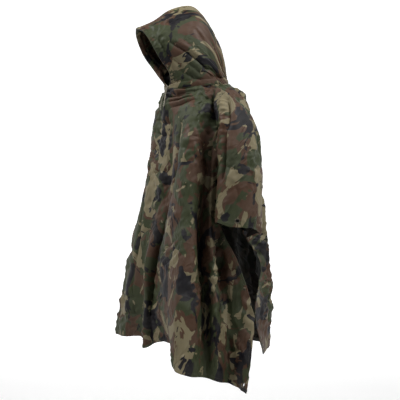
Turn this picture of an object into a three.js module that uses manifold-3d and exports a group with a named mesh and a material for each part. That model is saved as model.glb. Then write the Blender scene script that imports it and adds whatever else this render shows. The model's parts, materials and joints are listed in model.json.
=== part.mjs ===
// A hooded rain poncho, hollow, in the shape it takes when it is worn.
// Millimetres, +Z up. The front faces -Y and the wearer's left side is +X.
// The origin is inside the neck opening, at the height of the shoulders.

import * as THREE from 'three';
import Module from 'manifold-3d';

const wasm = await Module();
wasm.setup();

// Driving dimensions

const CLOTH = 1.6;          // thickness of every cloth wall
const SEAM_GAP = 0.3;       // clear space between two sewn pieces
const ROW_STEPS = 3;        // mesh rows between two stated heights

const NECK = { halfWidth: 98, toFront: 127, toBack: 122, middleHeight: 13, slope: 13, sewnOut: 2 };
const SHOULDER = { endX: 242, endZ: -46, arch: 5 };
const HEIGHT = { chest: -170, waist: -310, elbow: -500, thigh: -650, knee: -820 };

const HOOD = { turn: -13, turnFrom: 10, turnTo: 110, sewnAbove: 2, seamHalfGap: 0.4 };
const RIM_CASING = { shares: [0.05, 0.28, 0.5, 0.72, 0.95], inward: [2.4, 6, 8, 6, 2.4] };
const NECK_BAND = { bottom: 2, height: 20, outward: 3.2, rows: 3 };

const GROMMET = { hole: 5.6, barrel: 7.4, flange: 10, grip: 1.3, lip: 2, sides: 16 };
const SNAP = { radius: 6.5, edge: 1.2, crown: 3.2, above: 0.6, sides: 12 };
const CORD = { radius: 1.5, sides: 8, steps: 18, inTunnel: 3.9, knotRadius: 3.6, knotLength: 11, knotSides: 10 };

// Each row is one fold line of a panel, and each column is where that fold lies at one height.
// top is an angle round the neck opening in degrees, or a distance out along the shoulder line.
// A pair is x and y at the column's own height, and three numbers are x, y and z.

const LEFT_FRONT = [
  { fold: 'middle', topAngle: 0, yoke: [0, -146, -58], chest: [0, -140], waist: [0, -153],
    elbow: [-4, -172], thigh: [-15, -206], knee: [-22, -212], hem: [-30, -211, -975], steps: 2 },
  { fold: 'front valley', topAngle: 24, yoke: [42, -138, -58], chest: [50, -128], waist: [50, -133],
    elbow: [36, -158], thigh: [18, -184], knee: [8, -195], hem: [22, -184, -950], steps: 2 },
  { fold: 'front swell', topAngle: 48, yoke: [88, -116, -58], chest: [108, -146], waist: [108, -160],
    elbow: [108, -184], thigh: [108, -204], knee: [112, -212], hem: [118, -178, -943], steps: 2 },
  { fold: 'bell ridge', topAngle: 72, yoke: [132, -88, -58], chest: [165, -140], waist: [182, -162],
    elbow: [205, -186], thigh: [235, -206], knee: [270, -236], hem: [306, -266, -1003], steps: 2 },
  { fold: 'bell back', topX: 100, yoke: [152, -62, -60], chest: [188, -112], waist: [204, -126],
    elbow: [228, -146], thigh: [262, -162], knee: [302, -182], hem: [346, -226, -1020], steps: 3 },
  { fold: 'deep valley', topX: 140, yoke: [172, -38, -62], chest: [190, -56], waist: [175, -50],
    elbow: [155, -78], thigh: [178, -94], knee: [244, -104], hem: [328, -158, -1032], steps: 3 },
  { fold: 'side ridge', topX: 166, yoke: [192, -36, -68], chest: [205, -47], waist: [204, -52],
    elbow: [222, -72], thigh: [272, -86], knee: [332, -112], hem: [366, -126, -1044], steps: 2 },
  { fold: 'side recess', topX: 186, yoke: [205, -33, -72], chest: [215, -39], waist: [203, -34],
    elbow: [196, -40], thigh: [205, -40], knee: [284, -44], hem: [340, -64, -1060], steps: 3 },
  { fold: 'side edge', topX: 200, yoke: [217, -30, -76], chest: [223, -35], waist: [210, -24],
    elbow: [205, -16, -512], thigh: [295, 2], knee: [376, 10], hem: [450, -66, -1076], steps: 3 },
  { fold: 'sleeve front', topX: 216, yoke: [237, -30, -80], chest: [246, -49], waist: [253, -56],
    elbow: [258, -73, -500], steps: 2 },
  { fold: 'sleeve side', topX: 230, yoke: [256, -18, -86], chest: [286, -34], waist: [304, -42],
    elbow: [310, -48, -512], steps: 2 },
  { fold: 'arm line', topX: 242, yoke: [270, 0, -92], chest: [300, 0], waist: [322, 0],
    elbow: [330, 0, -518], steps: 0 },
];

const RIGHT_FRONT = [
  { fold: 'front valley', topAngle: 24, yoke: [-44, -140, -56], chest: [-56, -136], waist: [-58, -150],
    elbow: [-66, -166], thigh: [-72, -186], knee: [-80, -190], hem: [-84, -194, -942], steps: 2 },
  { fold: 'front swell', topAngle: 48, yoke: [-88, -126, -56], chest: [-114, -134], waist: [-112, -152],
    elbow: [-122, -184], thigh: [-134, -209], knee: [-144, -225], hem: [-155, -227, -948], steps: 2 },
  { fold: 'bell ridge', topAngle: 72, yoke: [-132, -92, -58], chest: [-160, -112], waist: [-164, -128],
    elbow: [-182, -161], thigh: [-204, -187], knee: [-228, -209], hem: [-254, -221, -950], steps: 2 },
  { fold: 'bell back', topX: 100, yoke: [-152, -64, -60], chest: [-182, -86], waist: [-184, -96],
    elbow: [-196, -116], thigh: [-228, -134], knee: [-262, -150], hem: [-296, -168, -954], steps: 3 },
  { fold: 'deep valley', topX: 140, yoke: [-172, -40, -62], chest: [-188, -54], waist: [-172, -54],
    elbow: [-158, -76], thigh: [-176, -98], knee: [-226, -116], hem: [-270, -134, -956], steps: 3 },
  { fold: 'side ridge', topX: 166, yoke: [-192, -36, -68], chest: [-206, -46], waist: [-206, -52],
    elbow: [-220, -72], thigh: [-266, -94], knee: [-318, -118], hem: [-352, -142, -962], steps: 2 },
  { fold: 'side recess', topX: 186, yoke: [-205, -33, -72], chest: [-215, -39], waist: [-204, -36],
    elbow: [-194, -44], thigh: [-214, -46], knee: [-286, -60], hem: [-338, -80, -972], steps: 3 },
  { fold: 'side edge', topX: 200, yoke: [-217, -30, -76], chest: [-223, -35], waist: [-212, -24],
    elbow: [-206, -18, -510], thigh: [-290, -6], knee: [-366, -6], hem: [-428, -44, -990], steps: 3 },
  { fold: 'sleeve front', topX: 216, yoke: [-237, -30, -80], chest: [-247, -46], waist: [-256, -52],
    elbow: [-262, -66, -502], steps: 2 },
  { fold: 'sleeve side', topX: 230, yoke: [-256, -18, -86], chest: [-288, -32], waist: [-306, -38],
    elbow: [-314, -44, -514], steps: 2 },
  { fold: 'arm line', topX: 242, yoke: [-270, 0, -92], chest: [-301, 0], waist: [-324, 0],
    elbow: [-334, 0, -520], steps: 0 },
];

const LEFT_BACK = [
  { fold: 'middle', topAngle: 180, yoke: [0, 137, -30], chest: [0, 134], waist: [0, 150],
    elbow: [0, 166], thigh: [0, 178], knee: [2, 186], hem: [0, 192, -965], steps: 2 },
  { fold: 'back valley', topAngle: 152, yoke: [76, 129, -22], chest: [94, 126], waist: [96, 134],
    elbow: [92, 140], thigh: [92, 146], knee: [104, 156], hem: [110, 162, -955], steps: 3 },
  { fold: 'back ridge', topAngle: 124, yoke: [151, 117, -14], chest: [178, 143], waist: [188, 166],
    elbow: [198, 184], thigh: [208, 194], knee: [221, 198], hem: [211, 186, -958], steps: 3 },
  { fold: 'side valley', topX: 106, yoke: [186, 89, -44], chest: [208, 102], waist: [196, 106],
    elbow: [190, 112], thigh: [226, 122], knee: [280, 124], hem: [296, 116, -968], steps: 3 },
  { fold: 'side edge', topX: 168, yoke: [212, 66, -72], chest: [226, 84], waist: [216, 74],
    elbow: [206, 72, -524], thigh: [280, 104], knee: [336, 44], hem: [352, 68, -968], steps: 3 },
  { fold: 'sleeve back', topX: 208, yoke: [240, 74, -88], chest: [257, 110], waist: [268, 118],
    elbow: [270, 112, -545], steps: 3 },
  { fold: 'sleeve side', topX: 228, yoke: [262, 26, -86], chest: [290, 60], waist: [314, 66],
    elbow: [321, 60, -530], steps: 2 },
  { fold: 'arm line', topX: 242, yoke: [270, 0, -92], chest: [300, 0], waist: [322, 0],
    elbow: [330, 0, -518], steps: 0 },
];

const RIGHT_BACK = [
  { fold: 'back valley', topAngle: 152, yoke: [-76, 128, -22], chest: [-84, 122], waist: [-86, 134],
    elbow: [-80, 142], thigh: [-74, 150], knee: [-84, 158], hem: [-96, 160, -962], steps: 3 },
  { fold: 'back ridge', topAngle: 124, yoke: [-149, 113, -16], chest: [-172, 134], waist: [-180, 156],
    elbow: [-176, 178], thigh: [-180, 196], knee: [-192, 208], hem: [-206, 212, -972], steps: 3 },
  { fold: 'side valley', topX: 106, yoke: [-184, 85, -44], chest: [-206, 92], waist: [-196, 100],
    elbow: [-194, 110], thigh: [-220, 118], knee: [-262, 128], hem: [-288, 136, -966], steps: 3 },
  { fold: 'side edge', topX: 168, yoke: [-211, 62, -72], chest: [-226, 80], waist: [-216, 72],
    elbow: [-208, 70, -522], thigh: [-278, 92], knee: [-342, 86], hem: [-388, 100, -985], steps: 3 },
  { fold: 'sleeve back', topX: 208, yoke: [-240, 70, -88], chest: [-258, 100], waist: [-270, 110],
    elbow: [-274, 106, -540], steps: 3 },
  { fold: 'sleeve side', topX: 228, yoke: [-262, 26, -86], chest: [-291, 56], waist: [-315, 62],
    elbow: [-324, 58, -528], steps: 2 },
  { fold: 'arm line', topX: 242, yoke: [-270, 0, -92], chest: [-301, 0], waist: [-324, 0],
    elbow: [-334, 0, -520], steps: 0 },
];

// Each row is one hoop of the hood's left half, from the rim to the nape.
// base is an angle round the neck opening. The others are half width, reach forward and height.

const HOOD_HOOPS = [
  { hoop: 'rim', base: 5, low: [62, 142, 62], wide: [86, 190, 138], high: [62, 224, 203], seam: [0, 241, 226] },
  { hoop: 'brow', base: 34, low: [92, 106, 84], wide: [108, 144, 158], high: [78, 164, 234], seam: [0, 174, 258] },
  { hoop: 'temple', base: 62, low: [112, 56, 88], wide: [120, 78, 166], high: [86, 92, 258], seam: [0, 104, 306] },
  { hoop: 'ear', base: 90, low: [116, 4, 88], wide: [120, 14, 166], high: [86, 18, 266], seam: [0, 20, 323] },
  { hoop: 'crown', base: 116, low: [106, -40, 82], wide: [108, -38, 152], high: [74, -30, 236], seam: [0, -27, 284] },
  { hoop: 'back', base: 140, low: [84, -80, 72], wide: [82, -76, 124], high: [54, -68, 184], seam: [0, -62, 206] },
  { hoop: 'nape', base: 160, low: [46, -107, 54], wide: [42, -99, 82], high: [24, -98, 112], seam: [0, -90, 120] },
  { hoop: 'collar', base: 174, low: [10, -124, 38], wide: [9, -124, 44], high: [5, -122, 50], seam: [0, -120, 54] },
];
const HOOP_STEPS = 2;
const HOOP_PARTS = ['base', 'low', 'wide', 'high', 'seam'];
const HOOP_PART_STEPS = 3;

// Where the grommets and snaps sit, in from the edges of a panel.

const CORNER_INSET = 24;
const SLEEVE_INSET = 22;
const SNAP_INSET = 12;
const SEAT_SAMPLES = 8;
const SNAP_HEIGHTS = [-566, -735, -908];

// The drawcord's ends: where each crosses the throat, and where it then lies on the chest.
// down is rows below the neck edge, out is columns from the middle, and above is off the cloth.

const CORD_ENDS = [
  { name: 'left', side: 1, throat: [[7.5, -125.5, 9], [4.6, -131, 5.6]],
    chest: [[0.14, 0.2, 3.6], [0.6, 0.16, 3.2], [1.3, 0.24, 3.2], [2.1, 0.42, 3.2], [2.7, 0.5, 4], [3.1, 0.52, 5.2]] },
  { name: 'right', side: -1, throat: [[-7.5, -125.5, 9], [-4.6, -131, 5.6]],
    chest: [[0.14, -0.2, 3.6], [0.6, -0.3, 3.2], [1.4, -0.5, 3.2], [2.4, -0.62, 3.2], [3, -0.64, 4], [3.4, -0.62, 5.2]] },
];

// Curves and sheets of points

const radians = THREE.MathUtils.degToRad;

function smoothCurve(points) {
  return new THREE.CatmullRomCurve3(points, false, 'centripetal');
}

function neckPoint(degrees, side, outward = 0) {
  const angle = radians(degrees);
  const middleY = (NECK.toBack - NECK.toFront) / 2;
  const halfDepth = (NECK.toBack + NECK.toFront) / 2;
  return new THREE.Vector3(
    side * (NECK.halfWidth + outward) * Math.sin(angle),
    middleY - (halfDepth + outward) * Math.cos(angle),
    NECK.middleHeight - NECK.slope * Math.cos(angle));
}

// Where the neck opening crosses the shoulder line, in degrees from its front.
const SHOULDER_ANGLE = THREE.MathUtils.radToDeg(
  Math.acos((NECK.toBack - NECK.toFront) / (NECK.toBack + NECK.toFront)));

function shoulderPoint(distance, side) {
  const start = neckPoint(SHOULDER_ANGLE, 1, NECK.sewnOut).x;
  const share = (distance - start) / (SHOULDER.endX - start);
  const startZ = NECK.middleHeight;
  const z = startZ + share * (SHOULDER.endZ - startZ) + SHOULDER.arch * Math.sin(Math.PI * share);
  return new THREE.Vector3(side * distance, 0, z);
}

const LEVELS = ['top', 'yoke', 'chest', 'waist', 'elbow', 'thigh', 'knee', 'hem'];
const SLEEVE_LEVELS = LEVELS.slice(0, 5);
const ELBOW_ROW = (SLEEVE_LEVELS.length - 1) * ROW_STEPS;

function foldPoint(row, level, side) {
  if (level === 'top') {
    return row.topAngle === undefined ? shoulderPoint(row.topX, side) : neckPoint(row.topAngle, side, NECK.sewnOut);
  }
  const [x, y, z = HEIGHT[level]] = row[level];
  return new THREE.Vector3(x, y, z);
}

// A panel as rows of points: across the panel along i, and from its top down to its hem along j.
// Folds that end at the elbow belong to a sleeve, and leave the panel's lower rows short.
function panelSheet(folds, frontOrBack) {
  const columns = folds.map(({ row, side }) => {
    const levels = row.hem ? LEVELS : SLEEVE_LEVELS;
    return smoothCurve(levels.map((level) => foldPoint(row, level, side)));
  });
  const first = folds.findIndex(({ row }) => row.hem);
  const last = folds.length - 1 - [...folds].reverse().findIndex(({ row }) => row.hem);
  const hemRow = (LEVELS.length - 1) * ROW_STEPS;
  const starts = [0];
  folds.slice(0, -1).forEach(({ steps }) => starts.push(starts.at(-1) + steps));
  const rows = [];
  for (let j = 0; j <= hemRow; j += 1) {
    const inSleeve = j <= ELBOW_ROW;
    const from = inSleeve ? 0 : first;
    const to = inSleeve ? folds.length - 1 : last;
    const across = [];
    for (let c = from; c <= to; c += 1) {
      const end = folds[c].row.hem ? hemRow : ELBOW_ROW;
      across.push(columns[c].getPoint(j / end));
    }
    const curve = smoothCurve(across);
    const points = [];
    for (let c = from; c < to; c += 1) {
      for (let k = 0; k < folds[c].steps; k += 1) {
        points[starts[c] + k] = curve.getPoint((c - from + k / folds[c].steps) / (to - from));
      }
    }
    points[starts[to]] = curve.getPoint(1);
    if (inSleeve) {
      const limit = SEAM_GAP / 2;
      points.forEach((point) => {
        point.y = frontOrBack < 0 ? Math.min(point.y, -limit) : Math.max(point.y, limit);
      });
    }
    rows.push(points);
  }
  return rows;
}

// Folds in order from the wearer's right to left across the front, and left to right across the back.
function orderFolds(firstSide, firstRows, secondSide, secondRows) {
  const outerFirst = firstRows.slice().reverse();
  const list = outerFirst.map((row, index) => {
    const next = outerFirst[index + 1];
    return { row, side: firstSide, steps: (next ?? secondRows[0]).steps };
  });
  secondRows.forEach((row) => list.push({ row, side: secondSide, steps: row.steps }));
  return list;
}

// Closed walls

function sheetNormals(rows) {
  const at = (j, i) => rows[j]?.[i];
  return rows.map((row, j) => row.map((point, i) => {
    const left = at(j, i - 1) ?? point;
    const right = at(j, i + 1) ?? point;
    const up = at(j - 1, i) ?? point;
    const down = at(j + 1, i) ?? point;
    const along = right.clone().sub(left);
    const descend = down.clone().sub(up);
    return descend.cross(along).normalize();
  }));
}

function flattenSeam(rows, normals) {
  const closeToSeam = SEAM_GAP;
  rows.forEach((row, j) => row.forEach((point, i) => {
    if (Math.abs(point.y) < closeToSeam) {
      normals[j][i].y = 0;
      normals[j][i].normalize();
    }
  }));
}

// Each cell is two triangles, divided along its shorter diagonal.
function splitsDown(rows, j, i) {
  const falling = rows[j][i].distanceTo(rows[j + 1][i + 1]);
  return falling <= rows[j + 1][i].distanceTo(rows[j][i + 1]);
}

// One closed body: the sheet moved out and in by half the wall, joined round every edge.
function wallGeometry(rows, normals, thickness = CLOTH, offset = 0) {
  const outer = new Map();
  const inner = new Map();
  const points = [];
  const key = (j, i) => `${j},${i}`;
  rows.forEach((row, j) => row.forEach((point, i) => {
    const normal = normals[j][i];
    outer.set(key(j, i), points.push(point.clone().addScaledVector(normal, offset + thickness / 2)) - 1);
    inner.set(key(j, i), points.push(point.clone().addScaledVector(normal, offset - thickness / 2)) - 1);
  }));
  const triangles = [];
  const inCell = (j, i) => Boolean(rows[j]?.[i] && rows[j]?.[i + 1] && rows[j + 1]?.[i] && rows[j + 1]?.[i + 1]);
  const side = (from, to) => {
    const [a, b] = [outer.get(from), outer.get(to)];
    const [c, d] = [inner.get(from), inner.get(to)];
    triangles.push([b, a, c], [b, c, d]);
  };
  for (let j = 0; j < rows.length - 1; j += 1) {
    for (let i = 0; i < rows[j].length - 1; i += 1) {
      if (!inCell(j, i)) continue;
      const corners = [key(j, i), key(j + 1, i), key(j + 1, i + 1), key(j, i + 1)];
      const [a, b, c, d] = corners.map((corner) => outer.get(corner));
      const [e, f, g, h] = corners.map((corner) => inner.get(corner));
      if (splitsDown(rows, j, i)) {
        triangles.push([a, b, c], [a, c, d], [e, g, f], [e, h, g]);
      } else {
        triangles.push([a, b, d], [b, c, d], [e, h, f], [f, h, g]);
      }
      if (!inCell(j, i - 1)) side(corners[0], corners[1]);
      if (!inCell(j + 1, i)) side(corners[1], corners[2]);
      if (!inCell(j, i + 1)) side(corners[2], corners[3]);
      if (!inCell(j - 1, i)) side(corners[3], corners[0]);
    }
  }
  const geometry = new THREE.BufferGeometry();
  geometry.setAttribute('position', new THREE.Float32BufferAttribute(points.flatMap((p) => p.toArray()), 3));
  geometry.setIndex(triangles.flat());
  return geometry;
}

// Booleans

function mergedSolid(geometry) {
  const position = geometry.getAttribute('position');
  const index = geometry.getIndex();
  const seen = new Map();
  const vertices = [];
  const remap = [];
  for (let v = 0; v < position.count; v += 1) {
    const coords = [position.getX(v), position.getY(v), position.getZ(v)];
    const name = coords.map((value) => Math.round(value * 1e4)).join();
    if (!seen.has(name)) {
      seen.set(name, vertices.length / 3);
      vertices.push(...coords);
    }
    remap.push(seen.get(name));
  }
  const order = index ? [...index.array] : [...Array(position.count).keys()];
  const triangles = [];
  for (let t = 0; t < order.length; t += 3) {
    const [a, b, c] = [remap[order[t]], remap[order[t + 1]], remap[order[t + 2]]];
    if (a !== b && b !== c && a !== c) triangles.push(a, b, c);
  }
  return new wasm.Manifold(new wasm.Mesh({
    numProp: 3, vertProperties: new Float32Array(vertices), triVerts: new Uint32Array(triangles),
  }));
}

function solidGeometry(solid) {
  const mesh = solid.getMesh();
  const geometry = new THREE.BufferGeometry();
  geometry.setAttribute('position', new THREE.BufferAttribute(new Float32Array(mesh.vertProperties), 3));
  geometry.setIndex(new THREE.BufferAttribute(new Uint32Array(mesh.triVerts), 1));
  return geometry;
}

// A turned part along its own Y axis, closed on itself, from radius and height pairs.
function turned(profile, sides) {
  return new THREE.LatheGeometry(profile.map(([radius, height]) => new THREE.Vector2(radius, height)), sides);
}

function grommetGeometry() {
  const { hole, barrel, flange, grip, lip, sides } = GROMMET;
  return turned([[hole, -lip], [flange, -lip], [flange, -grip], [barrel, -grip], [barrel, grip],
    [flange, grip], [flange, lip], [hole, lip], [hole, -lip]], sides);
}

function grommetCutter() {
  const { barrel, flange, grip, lip, sides } = GROMMET;
  const clear = SEAM_GAP + 0.05;
  return turned([[0, -lip - 2], [flange + clear, -lip - 2], [flange + clear, -grip + clear],
    [barrel + clear, -grip + clear], [barrel + clear, grip - clear], [flange + clear, grip - clear],
    [flange + clear, lip + 2], [0, lip + 2]], sides);
}

function snapGeometry() {
  const { radius, edge, crown, sides } = SNAP;
  return turned([[0, 0], [radius, 0], [radius, edge], [radius * 0.72, crown * 0.86], [0, crown]], sides);
}

// Group and materials

const poncho = new THREE.Group();
const COLOURS = { cloth: 0x3a352b, tape: 0x55503f, metal: 0x2c2a26, brass: 0x6b6354, cord: 0xb9b4a2 };

function clothMaterial(colour, roughness = 0.62) {
  return new THREE.MeshStandardMaterial({ color: colour, roughness, metalness: 0 });
}

function metalMaterial(colour) {
  return new THREE.MeshStandardMaterial({ color: colour, roughness: 0.4, metalness: 0.9 });
}

function addPiece(name, geometry, material) {
  const mesh = new THREE.Mesh(geometry, material);
  mesh.name = name;
  poncho.add(mesh);
  return mesh;
}

// Panels, with a hole for each grommet

const frontRows = panelSheet(orderFolds(-1, RIGHT_FRONT, 1, LEFT_FRONT), -1);
const backRows = panelSheet(orderFolds(1, LEFT_BACK, -1, RIGHT_BACK), 1);

// The point of the faceted sheet at a place between its rows and columns.
function sheetPoint(rows, down, across) {
  const j = Math.min(Math.floor(down), rows.length - 2);
  const i = Math.floor(across);
  const [v, u] = [down - j, across - i];
  const [a, b, c, d] = [rows[j][i], rows[j + 1][i], rows[j + 1][i + 1], rows[j][i + 1]];
  const from = (corner, first, firstShare, second, secondShare) => corner.clone()
    .addScaledVector(first.clone().sub(corner), firstShare)
    .addScaledVector(second.clone().sub(corner), secondShare);
  if (!splitsDown(rows, j, i)) {
    return u + v <= 1 ? from(a, b, v, d, u) : from(c, b, 1 - u, d, 1 - v);
  }
  return v >= u ? from(b, a, 1 - v, c, u) : from(d, a, 1 - u, c, v);
}

// A level seat on the sheet: its middle, its direction, and how far the sheet rises round it.
function seatOnSheet(rows, down, across, radius) {
  const middle = sheetPoint(rows, down, across);
  const [j, i] = [Math.min(Math.floor(down), rows.length - 2), Math.floor(across)];
  const perRow = rows[j][i].distanceTo(rows[j + 1][i]);
  const perColumn = rows[j][i].distanceTo(rows[j][i + 1]);
  const around = Array.from({ length: SEAT_SAMPLES }, (_, k) => {
    const angle = (2 * Math.PI * k) / SEAT_SAMPLES;
    const row = Math.min(down + (radius * Math.sin(angle)) / perRow, rows.length - 1);
    return sheetPoint(rows, row, across + (radius * Math.cos(angle)) / perColumn).sub(middle);
  });
  const normal = new THREE.Vector3();
  around.forEach((arm, k) => normal.add(around[(k + 1) % SEAT_SAMPLES].clone().cross(arm)));
  normal.normalize();
  const rise = Math.max(0, ...around.map((arm) => arm.dot(normal)));
  return { point: middle, normal, rise };
}

// The seat at a distance in from a sheet's side edge and up from its lower edge.
function seatFromEdges(rows, lowerRow, edgeColumn, inwards, fromEdge, fromHem, radius) {
  const perColumn = rows[lowerRow][edgeColumn].distanceTo(rows[lowerRow][edgeColumn + inwards]);
  const perRow = rows[lowerRow][edgeColumn].distanceTo(rows[lowerRow - 1][edgeColumn]);
  const across = edgeColumn + inwards * (fromEdge / perColumn);
  return seatOnSheet(rows, lowerRow - fromHem / perRow, across, radius);
}

function firstColumn(row) {
  return row.findIndex((point) => point !== undefined);
}

function setAt(mesh, { point, normal }, above = 0) {
  mesh.position.copy(point).addScaledVector(normal, above);
  mesh.quaternion.setFromUnitVectors(new THREE.Vector3(0, 1, 0), normal);
  mesh.updateMatrixWorld();
}

function cornerGrommet(rows, edgeColumn, inwards) {
  return seatFromEdges(rows, rows.length - 1, edgeColumn, inwards, CORNER_INSET, CORNER_INSET, GROMMET.flange);
}

function sleeveGrommet(rows, edgeColumn, inwards) {
  return seatFromEdges(rows, ELBOW_ROW, edgeColumn, inwards, SLEEVE_INSET, SLEEVE_INSET, GROMMET.flange);
}

function edgeSnap(rows, edgeColumn, inwards, height) {
  let j = ELBOW_ROW + 1;
  while (rows[j + 1][edgeColumn].z > height) j += 1;
  const perColumn = rows[j][edgeColumn].distanceTo(rows[j][edgeColumn + inwards]);
  const drop = (rows[j][edgeColumn].z - height) / (rows[j][edgeColumn].z - rows[j + 1][edgeColumn].z);
  return seatOnSheet(rows, j + drop, edgeColumn + inwards * (SNAP_INSET / perColumn), SNAP.radius);
}

function addGrommets(places) {
  places.forEach(({ name, seat }) => setAt(addPiece(name, grommetGeometry(), metalMaterial(COLOURS.metal)), seat));
}

function addSnaps(rows, name, edgeColumn, inwards) {
  SNAP_HEIGHTS.forEach((height, number) => {
    const seat = edgeSnap(rows, edgeColumn, inwards, height);
    const mesh = addPiece(`snap_${name}_${number + 1}`, snapGeometry(), metalMaterial(COLOURS.brass));
    setAt(mesh, seat, CLOTH / 2 + SNAP.above + seat.rise);
  });
}

// A panel with a hole for each grommet, its grommets, and the snaps along both side edges.
function addPanel(name, rows, sides, sleeveGrommets) {
  const normals = sheetNormals(rows);
  flattenSeam(rows, normals);
  const hem = rows.at(-1);
  const edges = [[sides[0], firstColumn(hem), 1], [sides[1], hem.length - 1, -1]];
  const places = edges.map(([side, column, inwards]) => (
    { name: `grommet_${side}_corner`, seat: cornerGrommet(rows, column, inwards) }));
  sleeveGrommets.forEach(([side, column, inwards]) => {
    places.push({ name: `grommet_${side}_side`, seat: sleeveGrommet(rows, column, inwards) });
  });
  let solid = mergedSolid(wallGeometry(rows, normals));
  places.forEach(({ seat }) => {
    const cutter = new THREE.Mesh(grommetCutter());
    setAt(cutter, seat);
    solid = solid.subtract(mergedSolid(cutter.geometry.clone().applyMatrix4(cutter.matrixWorld)));
  });
  addPiece(name, solidGeometry(solid), clothMaterial(COLOURS.cloth));
  addGrommets(places);
  edges.forEach(([side, column, inwards]) => addSnaps(rows, side, column, inwards));
  return normals;
}

const frontNormals = addPanel('front_panel', frontRows, ['front_right', 'front_left'],
  [['right', 0, 1], ['left', frontRows[0].length - 1, -1]]);
addPanel('back_panel', backRows, ['back_left', 'back_right'], []);

// Hood, in two halves that meet over the crown

// The hood turns with the head: not at all at the neck, and fully from the jaw up.
function turnHood(vector, height = vector.z) {
  const share = THREE.MathUtils.smoothstep(height, HOOD.turnFrom, HOOD.turnTo);
  return vector.applyAxisAngle(new THREE.Vector3(0, 0, 1), radians(HOOD.turn) * share);
}

function hoopPoint(hoop, part, side) {
  if (part === 'base') {
    const point = neckPoint(hoop.base, side);
    point.z += HOOD.sewnAbove;
    return point;
  }
  const [width, forward, height] = hoop[part];
  return new THREE.Vector3(side * width, -forward, height);
}

// Rows run from the crown seam down to the neck, and columns from the rim to the nape.
function hoodSheet(side) {
  const partCurves = HOOP_PARTS.map((part) => smoothCurve(HOOD_HOOPS.map((hoop) => hoopPoint(hoop, part, side))));
  const columns = (HOOD_HOOPS.length - 1) * HOOP_STEPS;
  const rowCount = (HOOP_PARTS.length - 1) * HOOP_PART_STEPS;
  const rows = Array.from({ length: rowCount + 1 }, () => []);
  for (let i = 0; i <= columns; i += 1) {
    const hoopCurve = smoothCurve(partCurves.map((curve) => curve.getPoint(i / columns)).reverse());
    for (let j = 0; j <= rowCount; j += 1) {
      const point = hoopCurve.getPoint(j / rowCount);
      if (j === 0) point.x = 0;
      point.x = side * Math.max(side * point.x, HOOD.seamHalfGap);
      rows[j][i] = point;
    }
  }
  return rows;
}

// Both halves before the head turns, with their faces out and level across the crown seam.
const halves = [1, -1].map((side) => {
  const rows = hoodSheet(side);
  const normals = sheetNormals(rows);
  normals.flat().forEach((normal) => normal.multiplyScalar(side));
  normals[0].forEach((normal) => normal.setX(0).normalize());
  return { side, rows, normals };
});

function addHoodHalf(name, { side, rows, normals }) {
  const ordered = (list) => (side > 0 ? list : list.map((row) => row.slice().reverse()));
  const turnedRows = rows.map((row) => row.map((point) => turnHood(point.clone())));
  const turnedNormals = normals.map((row, j) => row.map((normal, i) => turnHood(normal.clone(), rows[j][i].z)));
  addPiece(name, wallGeometry(ordered(turnedRows), ordered(turnedNormals)), clothMaterial(COLOURS.cloth));
}

addHoodHalf('hood_left', halves[0]);
addHoodHalf('hood_right', halves[1]);

// Moves points of the hood out along its own faces, then turns them with it.
function movedOut(rows, normals, distances) {
  return rows.map((row, j) => row.map((point, i) => (
    turnHood(point.clone().addScaledVector(normals[j][i], distances[j])))));
}

// The tunnel inside the rim, from the left of the throat over the brow to the right.
function rimCasing() {
  const hoops = halves.map(({ rows, normals }) => rows.map((row, j) => ({ row, normal: normals[j] })));
  const ends = [hoops[0].slice(0, -1), hoops[1].slice(0, -1)];
  const along = [...ends[0].reverse(), ...ends[1].slice(1)];
  const strip = (pick) => RIM_CASING.shares.map((share) => along.map((hoop) => pick(hoop, share)));
  const rows = strip(({ row }, share) => row[0].clone().lerp(row[1], share));
  const normals = strip(({ normal }, share) => normal[0].clone().lerp(normal[1], share).normalize());
  return movedOut(rows, normals, RIM_CASING.inward.map((inward) => -inward));
}

// The tape round the foot of the hood, from the left of the throat round the nape to the right.
function neckBand() {
  const foot = ({ rows, normals }) => rows.at(-1).map((point, i) => (
    { low: point, high: rows.at(-2)[i], normal: normals.at(-1)[i] }));
  const around = [...foot(halves[0]), ...foot(halves[1]).reverse()];
  const heights = Array.from({ length: NECK_BAND.rows }, (_, j) => (
    NECK_BAND.bottom + NECK_BAND.height * (1 - j / (NECK_BAND.rows - 1))));
  const rows = heights.map((height) => around.map(({ low, high }) => (
    low.clone().lerp(high, height / low.distanceTo(high)))));
  const normals = heights.map(() => around.map(({ normal }) => normal));
  return movedOut(rows, normals, heights.map(() => NECK_BAND.outward));
}

[['hood_rim_casing', rimCasing()], ['neck_band', neckBand()]].forEach(([name, rows]) => {
  addPiece(name, wallGeometry(rows, sheetNormals(rows)), clothMaterial(COLOURS.tape));
});

// The middle of the tunnel, at a number of rows up from the foot of the hood.
function tunnelPoint({ rows, normals }, up) {
  const at = rows.length - 1 - up;
  const low = Math.floor(at);
  const middle = (j) => rows[j][0].clone().lerp(rows[j][1], 0.5).addScaledVector(normals[j][0], -CORD.inTunnel);
  return turnHood(middle(low).lerp(middle(low + 1), at - low));
}

function cordKnotGeometry() {
  const { knotRadius, knotLength, knotSides } = CORD;
  const half = knotLength / 2;
  return turned([[0, -half], [knotRadius * 0.7, -half * 0.75], [knotRadius, 0],
    [knotRadius * 0.7, half * 0.75], [0, half]], knotSides);
}

const middleColumn = RIGHT_FRONT.slice(0, -1).reduce((sum, row) => sum + row.steps, 0) + LEFT_FRONT[0].steps;

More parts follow.
